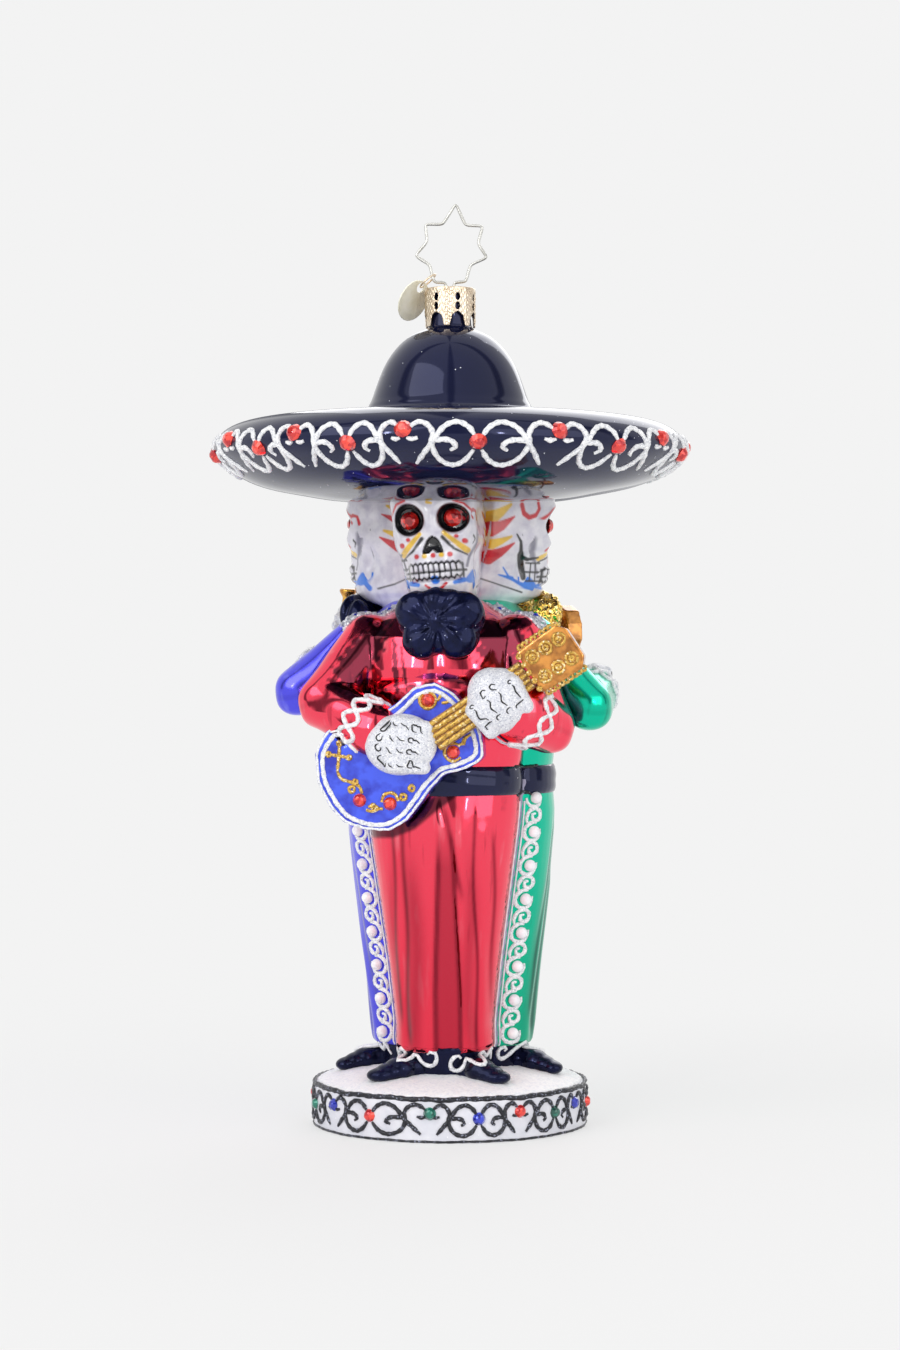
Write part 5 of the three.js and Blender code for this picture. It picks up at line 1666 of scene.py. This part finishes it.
GUITAR_BLUE = silvered_enamel("blue_enamel_on_silvering", "#4560F4", "#2C36BE", 0.5, 3)
AMBER = silvered_enamel("amber_lacquer_on_silvering", "#E89C42", "#A0621C", 0.55, 2.2)
BROWN = silvered_enamel("brown_enamel_with_gold_dust", "#A8742C", "#6A4418", 0.4, 0.8)
BRASS = silvered_enamel("gold_lacquer_on_silvering", "#EDB548", "#B97A1C", 0.95, 1.6)
GUITAR_TILT = math.radians(33.7)
GUITAR_X, GUITAR_Z, GUITAR_FRONT = 4.1, HEM + 6.7, 27.2
GUITAR_STRETCH = 1.045


def on_guitar(along, across, forward):
    """A point on the guitar, from its own length and width."""
    c, s = math.cos(GUITAR_TILT), math.sin(GUITAR_TILT)
    return (GUITAR_X + along * c - across * s, -forward, GUITAR_Z + along * s + across * c)


def swell(u, w):
    """From the solid's outline to the real one: longer, fuller above and waisted below."""
    lower_side = -0.15 + 0.12 * step(u, -25, -20) - 0.08 * ridge(u, -6.3, 2) + 0.15 * step(u, -3, 1)
    fuller = np.where(w > 0, 0.19, lower_side)
    return u * GUITAR_STRETCH, w * (1 + fuller)


def guitar_edge(inset):
    """The outline of the guitar's face, drawn in by an inset."""
    lower, upper, length = 10.7, 8.6, 31.5
    shares = [
        (0, 0), (0.02, 0.42), (0.1, 0.8), (0.22, 0.98), (0.34, 1), (0.46, 0.88), (0.56, 0.76), (0.66, 0.76),
        (0.8, 0.82), (0.92, 0.7), (0.98, 0.4), (1, 0),
    ]
    edge = []
    for share, half in shares:
        scale = upper / 0.82 if share > 0.6 else lower
        edge.append(((share - 0.87) * length, half * scale))
    around_it = [(u, -w) for u, w in edge] + [(u, w) for u, w in edge[-2:0:-1]]
    line = smooth_line([(u, w, 0) for u, w in around_it + around_it[:1]], 0.5)[:, :2]
    way = np.roll(line, -1, axis=0) - np.roll(line, 1, axis=0)
    way[0] = way[-1] = line[1] - line[-2]
    way /= np.linalg.norm(way, axis=1)[:, None]
    line = line + np.column_stack([-way[:, 1], way[:, 0]]) * inset
    return [on_guitar(u, w, GUITAR_FRONT + 1) for u, w in np.column_stack(swell(line[:, 0], line[:, 1]))]

# %% [markdown]
# ## The guitar's form
# The CAD solid gives the guitar its place and tilt, and a formula along its length then swells and
# waists it, which is easier to tune than a new outline. The strings are piped on a softened neck.

# %% Make the guitar
# A painted dark reflection of the guitar's edge on the trousers below it, across and up.
PAINTED_GUITAR_REFLECTION = [(-13, 59.2), (-9, 59.4), (-4.9, 60.9), (-0.7, 64.2), (2.7, 66.6)]
NECK_FACE, STRING_SPACING = 29.9, 1.15

guitar = refined("blue_guitar_body", "guitar_body", 0.26, 4)
places = points_of(guitar)
c, s = math.cos(GUITAR_TILT), math.sin(GUITAR_TILT)
right, up = places[:, 0] - GUITAR_X, places[:, 2] - GUITAR_Z
u, w = swell(right * c + up * s, up * c - right * s)
places[:, 0], places[:, 2] = GUITAR_X + u * c - w * s, GUITAR_Z + u * s + w * c
move_points(guitar, places)
settle(guitar, GUITAR_BLUE, "guitar_blue", nodes=["guitar_body"])
guitar_surface = surface_of(guitar)
# Paints the dark reflection of the guitar's edge on the front of the red trousers.
places = points_of(trousers["guitar"])
painted_reflection_below_guitar = near_path(places[:, 0], places[:, 2], PAINTED_GUITAR_REFLECTION, 3.3, 2.4, 0.4)
mark(trousers["guitar"], "dark", 0.85 * painted_reflection_below_guitar * (places[:, 1] < 0))
for name, inset, width in (("guitar_edge_line", 0.2, 0.27), ("guitar_inner_line", 1.5, 0.48)):
    beads(name, [dropped(guitar_edge(inset), guitar_surface)], width, WHITE_GLITTER, "base_white", taper=1)

neck = refined("brown_guitar_neck", "guitar_strings", 0.22, 3)
settle(neck, BROWN, "wood_amber", nodes=["guitar_strings"])
string_lines = []
for number in range(-2, 3):
    across = STRING_SPACING * number
    string_lines.append([on_guitar(-4.3 + 0.45 * k, across, NECK_FACE + 0.1) for k in range(49)])
beads("gold_strings", string_lines, 0.5, GOLD_GLITTER, "guitar_gold")

headstock = refined("amber_headstock", "guitar_headstock", 0.24, 4)
settle(headstock, AMBER, "wood_amber", nodes=["guitar_headstock"])
print("guitar points:", len(guitar.data.vertices), len(headstock.data.vertices))

# %% [markdown]
# ## The guitar's ornament
# Gold glitter is piped over the blue in curls, rings and a cross shape, with red stones. Each stroke is
# drawn flat and then moved to the nearest place on the glass, so that it follows every bulge.

# %% Decorate the guitar
def circle(x, z, radius, forward, count=14, start=0.0, sweep=2 * math.pi):
    turns = np.linspace(start, start + sweep, count)
    return [(x + radius * math.cos(t), -forward, z + radius * math.sin(t)) for t in turns]


def upright(points, forward):
    return smooth_line([(x, -forward, z) for x, z in points], 0.35)


FACE = GUITAR_FRONT + 0.1
ornaments = [
    [(-17.8, 76.4), (-17.9, 73.9), (-18.2, 71)], [(-19.9, 74.3), (-17.9, 74), (-15.9, 73.7)],
    [(-18.2, 71), (-17.4, 69.6), (-15.6, 69), (-14, 68.2), (-13.4, 66.8)],
    [(-12.6, 63.7), (-11.5, 63.4), (-10.2, 63.9), (-9.4, 63.9)], [(-12.2, 64.3), (-11, 64.5), (-10, 63.9)],
    [(5.0, 76.2), (5.9, 76.4), (6.4, 77.4), (7.8, 78.4)], [(6.2, 76.2), (6.6, 77.6)],
    [(1.2, 84.6), (2.1, 85.9), (3.0, 85.4)], [(2.0, 84.2), (2.9, 84.3), (3.7, 84.6)],
    [(-9.6, 65.2), (-9.2, 66.5), (-8.0, 67.0), (-6.9, 66.6), (-6.4, 65.4)],
]
GOLD_RINGS = (
    (-0.7, 84.7, 1.6), (-5.4, 66.2, 0.55), (-3.8, 67.9, 0.5), (-15.4, 67.6, 0.55), (-14.7, 69, 0.4),
)
GOLD_DOTS = ((-19.9, 74.3), (-15.9, 73.7), (-17.8, 76.4), (-11.3, 64.4))
gold_lines = [upright(line, FACE) for line in ornaments]
for x, z, radius in GOLD_RINGS:
    gold_lines.append(circle(x, z, radius, FACE))
gold_lines.append(circle(4.2, 74.8, 1.7, FACE, 14, 0.7, 5.0))
gold_lines = [dropped(line, guitar_surface) for line in gold_lines]
for x, z in GOLD_DOTS:
    gold_lines.append(dropped(circle(x, z, 0.4, FACE, 8), guitar_surface))

ROSETTES = [(u, w) for u in (20.2, 23.2, 26.2) for w in (-2.2, 2.2)]
HEAD_FACE = 29.9
for u, w in ROSETTES:
    x, _, z = on_guitar(u, w, 0)
    gold_lines.append(circle(x, z, 1.15, HEAD_FACE, 12))
    gold_lines.append(circle(x, z, 0.42, HEAD_FACE + 0.15, 8))
for side in (1, -1):
    for k in range(9):
        x, _, z = on_guitar(19.1 + k * 0.98, side * 4.95, 0)
        gold_lines.append(circle(x, z, 0.5, 28.6 + 0.5 * (k % 2), 9))
for k in range(5):
    x, _, z = on_guitar(18.0, -3.6 + 1.8 * k, 0)
    gold_lines.append(circle(x, z, 0.34, HEAD_FACE + 0.05, 8))
beads("guitar_gold_trim", gold_lines, 0.38, GOLD_GLITTER, "guitar_gold", taper=0.8)
gems = [(-13.9, 65.5), (-8.0, 64.9), (4.2, 74.8), (-0.7, 84.7)]
places = spots([(x, -FACE, z) for x, z in gems], guitar_surface, 0.05)
strewn("guitar_stones", stone(1.5), places, STONES["red"], "gem_red")
print("gold strokes on the guitar:", len(gold_lines))

# %% [markdown]
# ## Violin and trumpet
# Only the edge of each shows in the photograph, so their details follow real instruments: sound holes,
# bridge, strings and a scroll on the violin, and a flared bell, three valves and a loop on the trumpet.

# %% Make the violin and its bow
VIOLIN_TILT = math.radians(-16)
VIOLIN_X, VIOLIN_Z, VIOLIN_FRONT = 2.6, COLLAR - 5.4, 26.6
GREEN_TURN, BLUE_TURN = PLAYERS["violin"][1], PLAYERS["trumpet"][1]


def on_violin(along, across, forward):
    c, s = math.cos(VIOLIN_TILT), math.sin(VIOLIN_TILT)
    return (VIOLIN_X + along * c - across * s, -forward, VIOLIN_Z + along * s + across * c)


violin = refined("amber_violin_body", "violin_body", 0.22, 4)
settle(violin, AMBER, "wood_amber", nodes=["violin_body"])
scroll = ball(on_violin(20.2, 0, 25.6), (1.5, 1.3, 1.5))
turn_mesh(scroll, GREEN_TURN)
violin_neck = refined("amber_violin_neck", "violin_neck", 0.2, 3, scroll)
settle(violin_neck, AMBER, "wood_amber", nodes=["violin_neck"])
violin_surface = surface_of(violin, violin_neck)
holes = []
for side in (1, -1):
    shape = [(-2.9, 2.5), (-2.3, 2.9), (-1.9, 2.2), (0, 1.9), (1.6, 1.5), (2, 0.9), (2.6, 1.2)]
    holes.append(smooth_line([on_violin(u, side * w, VIOLIN_FRONT) for u, w in shape], 0.3))
holes.append(smooth_line([on_violin(-0.6, w, VIOLIN_FRONT) for w in (-1.6, 0, 1.6)], 0.3))
holes.append(smooth_line([on_violin(u, 0, VIOLIN_FRONT) for u in (-7.4, -6, -4.6, -3)], 0.3))
holes = [dropped(turned_points(line, GREEN_TURN), violin_surface) for line in holes]
beads("violin_sound_holes", holes, 0.2, LINE_BLACK, "bow_black")
strings = []
for w in (-0.6, -0.2, 0.2, 0.6):
    line = [on_violin(u, w * (1.4 - u / 30), VIOLIN_FRONT + 0.25) for u in np.linspace(-4.5, 18.5, 24)]
    strings.append(turned_points(line, GREEN_TURN))
beads("violin_strings", strings, 0.09, GOLD_GLITTER, "guitar_gold", taper=1)

BOW_LEAN = 41
bow_along = Vector((math.cos(math.radians(BOW_LEAN)), 0, math.sin(math.radians(BOW_LEAN))))
bow_middle = Vector((VIOLIN_X, -VIOLIN_FRONT - 0.85, VIOLIN_Z))
stick_start, stick_end = bow_middle - bow_along * 17.2, bow_middle + bow_along * 9.7
parts = [
    tube(stick_start, stick_end, 0.52, 0.36),
    ball(stick_end, (0.6, 0.5, 0.6)),
    ball(stick_start + bow_along * 1.4, (1.5, 0.55, 0.8), -BOW_LEAN),
]
stick = fused("violin_bow_stick", parts, 0.14, rounds=3, third=False)
turn_mesh(stick, GREEN_TURN)
settle(stick, BROWN, "wood_amber", nodes=["violin_bow"])
hair = [stick_start + bow_along * (1.2 + 0.6 * k) + Vector((0, 0.35, 0)) for k in range(43)]
beads("violin_bow_hair", [turned_points(hair, GREEN_TURN)], 0.2, PAINT_WHITE, "base_white", taper=1)
print("violin points:", len(violin.data.vertices))

# %% [markdown]
# ## The trumpet
# The bell and its tube are one profile spun round an axis, and plain tubes make the valves and the
# loop. All of it is melted together, because on the ornament it is one blown form.

# %% Make the trumpet
BELL_PROFILE = [
    (0.01, -1.4), (2.4, -1.9), (3.9, -2.7), (4.45, -3), (4.62, -2.85), (4.3, -2.4), (3.1, -1.1), (2.2, 0.8),
    (1.7, 3.2), (1.45, 7), (1.3, 12), (1.2, 18), (1.05, 19.6), (1.7, 20.6), (1.8, 21.2), (1.3, 21.4),
    (0.01, 21.0),
]
# The loop beside the bell: where each of its tubes starts and ends, across and along the bell.
LOOP_TUBES = (((-2.6, 1), (-2.6, 15)), ((-0.4, 1), (-2.6, 1)), ((-0.4, 15), (-2.6, 15)))
BELL_STEPS, VALVES = 40, 3
bell_end, mouth_end = at(0, 27.6, COLLAR - 17), at(0.3, 26.2, COLLAR + 2.8)
aim = (mouth_end - bell_end).to_track_quat("Z", "Y").to_matrix().to_4x4()
horn = spun("horn_form", BELL_PROFILE, BELL_STEPS)
horn.data.transform(Matrix.Translation(bell_end * MM) @ aim)
front_of_horn = aim @ Vector((0, 0, 1))
parts = [horn]
for k in range(VALVES):
    foot = bell_end + front_of_horn * (4.6 + 2.3 * k) + Vector((-1.9, 0.2, 0))
    top = foot + Vector((0, -2.6, 0.2))
    parts += [
        tube(foot + Vector((0, 2.2, 0)), top, 0.95, 0.95),
        tube(top, top + Vector((0, -0.7, 0)), 0.4, 0.4),
        ball(top + Vector((0, -0.8, 0)), (0.7, 0.3, 0.7)),
    ]
for start, end in LOOP_TUBES:
    one = bell_end + front_of_horn * start[1] + Vector((start[0], 0.3, 0))
    two = bell_end + front_of_horn * end[1] + Vector((end[0], 0.3, 0))
    parts += [tube(one, two, 0.6, 0.6), ball(one, [0.62] * 3), ball(two, [0.62] * 3)]
trumpet = fused("gold_trumpet", parts, 0.2, rounds=3, third=False)
turn_mesh(trumpet, BLUE_TURN)
settle(trumpet, BRASS, "trumpet_gold", nodes=["trumpet"])
print("trumpet points:", len(trumpet.data.vertices))

# %% [markdown]
# ## Shoes, hems and stripes
# Black shoes point outwards under the hems. A squiggle of white glitter hides each hem, a line of
# silver-lilac paint covers each seam between two figures, and a stripe of scrolls and pearls runs
# down one side of the seam. The shoes come first, because a squiggle may touch them.

# %% Shoes
def shoe_parts(side):
    """Heel, instep and toe cap of one shoe, splayed outwards, with its sole on the snow."""
    heel, instep, toe = at(side * 5.2, 12.6, 12.6), at(side * 8, 14.9, 12.5), at(side * 11.5, 17.1, 11.5)
    return [
        ball(heel, (2.8, 2.8, 2.6)), tube(heel, instep, 2.5, 2.4), ball(instep, (3.2, 2.9, 2.3)),
        tube(instep, toe, 2.2, 1.5), ball((instep + toe) / 2, (3, 2.5, 1.8)), ball(toe, (2.7, 2.2, 1.4)),
    ]


shoes = {}
for role, (colour, turn) in PLAYERS.items():
    for word, side in (("right", -1), ("left", 1)):
        shoe = fused(f"{colour}_{word}_shoe", shoe_parts(side), 0.26, rounds=9, third=False)
        move_points(shoe, turned_points(points_of(shoe), turn))
        shoes[role, side] = settle(shoe, SHOE_BLACK, "shoe_black", nodes=[f"{role}_player_{word}_shoe"])
print("shoes:", len(shoes))

# %% [markdown]
# ## Piping on the trousers
# Squiggles and scrolls are drawn flat, across and up, and cast inwards on the trousers. One unit of the
# stripe, an open ring and a curl, repeats up each seam with a pearl in every ring.

# %% Pipe the hems and the stripes
HEMS = [
    [
        (-12.6, 14.9), (-12.2, 15.3), (-12.7, 15.8), (-13.5, 15.6), (-14.1, 14.9), (-13.9, 13.9),
        (-13, 13.4), (-12, 13.7), (-11, 14.4), (-10, 15.1), (-7.9, 16.3), (-7.2, 15.3), (-6.6, 14.3),
        (-5.7, 14.3), (-4.9, 15.4), (-4.2, 15.2), (-3.4, 13.9), (-2.3, 13.3), (-1.2, 13.4), (-0.5, 14.6),
        (-0.7, 15.9), (-1.5, 16.2), (-2.1, 15.6),
    ],
    [
        (3.9, 14.8), (3.5, 15.3), (2.6, 15), (2, 13.9), (2.2, 12.7), (3.3, 12.3), (4.3, 13.1), (5, 14.6),
        (6, 14), (7.1, 13.9), (7.9, 15.2), (8.8, 15.8), (9.4, 15.1), (10.3, 14.8), (10.9, 15.4),
        (11.5, 16.2), (12.1, 14.6), (12.6, 13.9),
    ],
]
SEAMS = {"right": (-30, 1), "left": (-150, -1), "back": (90, 1)}
STRIPE_UNIT, STRIPE_FOOT, STRIPE_UNITS, STRIPE_TOP = 6.7, 16.6, 8, 65.6
PEARL_SHARE = 0.27
# A distance from the axis that is well outside the trousers, to cast strokes inwards from.
OUTSIDE_TROUSERS = 30


def open_ring(centre, half, start, sweep, count=12):
    """Points of a ring with a gap in it, across the stripe and along it."""
    turns = np.linspace(math.radians(start), math.radians(start + sweep), count)
    return [(centre[0] + half[0] * math.cos(t), centre[1] + half[1] * math.sin(t)) for t in turns]


# Across the stripe in shares of its half width, and along it in shares of its unit.
STRIPE_STROKES = [
    open_ring((-0.05, PEARL_SHARE), (1.0, 0.27), 70, 305),
    [
        (-0.7, 0.5), (-0.9, 0.68), (-0.6, 0.88), (0.05, 0.96), (0.7, 0.86), (0.75, 0.68), (0.25, 0.59),
        (-0.2, 0.66), (-0.25, 0.78), (0.15, 0.8),
    ],
]
trouser_surface = surface_of(*trousers.values())
hem_surface = surface_of(*trousers.values(), *under_hem_blacks.values(), *shoes.values())
seam_surface = surface_of(*trousers.values(), *sashes.values())
# How far the hem is from the axis, to take a distance along it for a bearing.
HEM_REACH = 14.6


def by_seam(seam, across, height):
    """A point outside the trousers, a little way round from a seam, measured across it in millimetres."""
    turn, side = SEAMS[seam]
    turn = math.radians(turn) + side * across / (11.5 + 0.12 * (height - 15))
    return ring_point(OUTSIDE_TROUSERS, turn, height)


hem_lines = []
for role, (colour, turn) in PLAYERS.items():
    for line in HEMS:
        path = []
        for x, z in smooth_line([(x, z, 0) for x, z in line])[:, :2]:
            bearing = x / HEM_REACH
            path.append((OUTSIDE_TROUSERS * math.sin(bearing), -OUTSIDE_TROUSERS * math.cos(bearing), z))
        hem_lines.append(cast(turned_points(path, turn), hem_surface, inward, 0.05))
beads("hem_squiggles", hem_lines, 0.44, WHITE_GLITTER, "base_white")

stripes, borders, piping, stripe_pearls = [], [], [], []
for seam in SEAMS:
    for unit in range(STRIPE_UNITS):
        for stroke in STRIPE_STROKES:
            path = [
                by_seam(seam, 2.85 + 1.7 * a, STRIPE_FOOT + STRIPE_UNIT * (unit + b)) for a, b in stroke
            ]
            path = [p for p in path if p[2] < STRIPE_TOP]
            if len(path) > 2:
                stripes.append(cast(smooth_line(path, 0.6), trouser_surface, inward, 0.05))
        pearl_height = STRIPE_FOOT + STRIPE_UNIT * (unit + PEARL_SHARE)
        if pearl_height < STRIPE_TOP:
            stripe_pearls.append(by_seam(seam, 2.95, pearl_height))
    heights = np.linspace(15.6, 69, 100)
    borders.append(cast([by_seam(seam, -0.1, z) for z in heights], seam_surface, inward, 0.1))
    piping.append(cast([by_seam(seam, 0.75, z) for z in heights[:-8]], seam_surface, inward, 0.05))
    piping.append(cast([by_seam(seam, -0.85, z) for z in heights[:-8]], seam_surface, inward, 0.0))
beads("side_stripes", stripes, 0.45, WHITE_GLITTER, "base_white")
beads("seam_borders", borders, 0.5, BORDER_GREY, "jacket_blue", taper=1)
beads("seam_piping", piping, 0.2, PAINT_WHITE, "base_white", taper=1)
stripe_pearl = primitive(bpy.ops.mesh.primitive_ico_sphere_add, subdivisions=3, radius=1.18 * MM)
pearl_places = [(p, inward(-p)) for p in cast(stripe_pearls, trouser_surface, inward, 0.35)]
strewn("stripe_pearls", stripe_pearl, pearl_places, PEARL, "base_white")
print("stripe strokes:", len(stripes), "pearls:", len(stripe_pearls))

# %% [markdown]
# ## Shoulder trim
# Silver glitter and small blue stones cover the seams between the jackets. Four wavering lines are cast
# down side by side on each seam, close enough to read as one rough band.

# %% Trim the shoulders
ABOVE_SHOULDERS = 112
yoke, yoke_gems = [], []
for seam in SEAMS:
    for off in (-1.5, -0.5, 0.5, 1.5):
        path = []
        for k in range(34):
            share = k / 33
            radius = 10.5 + 12.2 * share
            turn = math.radians(SEAMS[seam][0]) + (off + 0.35 * math.sin(2.2 * k + off)) / radius
            path.append(ring_point(radius, turn, ABOVE_SHOULDERS))
        yoke.append(cast(path, jacket_surface, down, 0.1))
    for k in range(4):
        radius, turn = 12.5 + 2.6 * k, math.radians(SEAMS[seam][0] + (3 if k % 2 else -3))
        yoke_gems.append(ring_point(radius, turn, ABOVE_SHOULDERS))
beads("shoulder_trim", yoke, 0.5, SILVER_GLITTER, "base_white")
gem_places = [(p, (0, 0, 1)) for p in cast(yoke_gems, jacket_surface, down, 0.4)]
strewn("shoulder_stones", stone(0.7), gem_places, STONES["blue"], "gem_red")
print("shoulder strokes:", len(yoke))

# %% [markdown]
# ## Cap, hanger, ring and tag
# The crown cap is pressed from thin pale gold tin, with an embossed pattern on each petal. The star is
# bent from nickel-plated spring wire. Copies of the CAD solids are refined here: a fine skin softens
# their edges, and the cap's pattern is pressed in by a formula round its wall.

# %% Metal finishes
def plated(name, colour, dark, roughness, grain, metallic=1.0):
    made, tree, shader, place = finish(name, Metallic=metallic)
    marks = add(tree, "ShaderNodeTexNoise", {0: place, "Scale": per_mm(grain), "Detail": 5.0})
    tone = add(tree, "ShaderNodeValToRGB", {0: marks.outputs[0]}, stops=[(0.3, dark), (0.62, colour)])
    rough = add(tree, "ShaderNodeMapRange", {0: marks.outputs[0], 3: roughness * 0.7, 4: roughness * 1.4})
    tree.links.new(tone.outputs[0], shader.inputs["Base Color"])
    tree.links.new(rough.outputs[0], shader.inputs["Roughness"])
    bump = add(tree, "ShaderNodeBump", {"Height": marks.outputs[0], "Strength": 0.12, "Distance": 0.00005})
    tree.links.new(bump.outputs[0], shader.inputs["Normal"])
    return made


CAP_GOLD = plated("pale_gold_anodised_tin", "#EFE0CA", "#D2B99A", 0.32, 2.5)
WIRE_NICKEL = plated("nickel_plated_spring_wire", "#D6D5D0", "#B4B3AD", 0.34, 3, 0.8)
TAG_GOLD = plated("pale_brass_sheet", "#FFFDEE", "#F2EED6", 0.42, 3, 0.1)

# %% Refine the hardware
CAP_WALL_RADIUS, CAP_WALL_FOOT, CAP_WALL_TOP, CAP_PETALS = 4.75, 159, 166.2, 7
EMBOSS_DEPTH, RIB_DEPTH = 0.06, 0.08
# The star leans to the viewer's left from just above its foot.
STAR_LEAN, STAR_FOOT, LEAN_FROM, LEAN_TO = math.radians(5), 170, 169.5, 174

cap = refined("pressed_cap", "crown_cap", 0.13, 2)
places = points_of(cap)
radius = np.hypot(places[:, 0], places[:, 1])
turn = np.arctan2(places[:, 1], places[:, 0])
wall = (radius > CAP_WALL_RADIUS) * window(places[:, 2], CAP_WALL_FOOT, CAP_WALL_TOP, 0.8)
emboss = np.sin(turn * 42) * np.sin(places[:, 2] * 4.3 + np.sin(turn * 21))
rib = ridge(np.abs(((turn * CAP_PETALS / (2 * math.pi)) % 1) - 0.5), 0.36, 0.05)
relief = (EMBOSS_DEPTH * emboss + RIB_DEPTH * rib) * wall
places[:, :2] += (places[:, :2] / radius[:, None]) * relief[:, None]
move_points(cap, places)
settle(cap, CAP_GOLD, "cap_gold", "cap", ["crown_cap"], smooth=50)

star = copy_of_node("star_wire", "star_hanger")
rounded(star)
places = points_of(star)
lean = np.sin(STAR_LEAN * step(places[:, 2], LEAN_FROM, LEAN_TO))
rise = places[:, 2] - STAR_FOOT
places[:, 0], places[:, 2] = places[:, 0] + rise * lean, places[:, 2] - places[:, 0] * lean * 0.6
move_points(star, places)
settle(star, WIRE_NICKEL, "wire_silver", "hanger", ["star_hanger"], smooth=80)

loop = copy_of_node("tag_ring", "jump_ring")
rounded(loop)
settle(loop, CAP_GOLD, "cap_gold", "ring", ["jump_ring"], smooth=80)

tag = refined("bare_tag", "round_tag", 0.09, 1)
settle(tag, TAG_GOLD, "tag_gold", "tag", ["round_tag"], smooth=50)
print("cap points:", len(cap.data.vertices), "tag points:", len(tag.data.vertices))
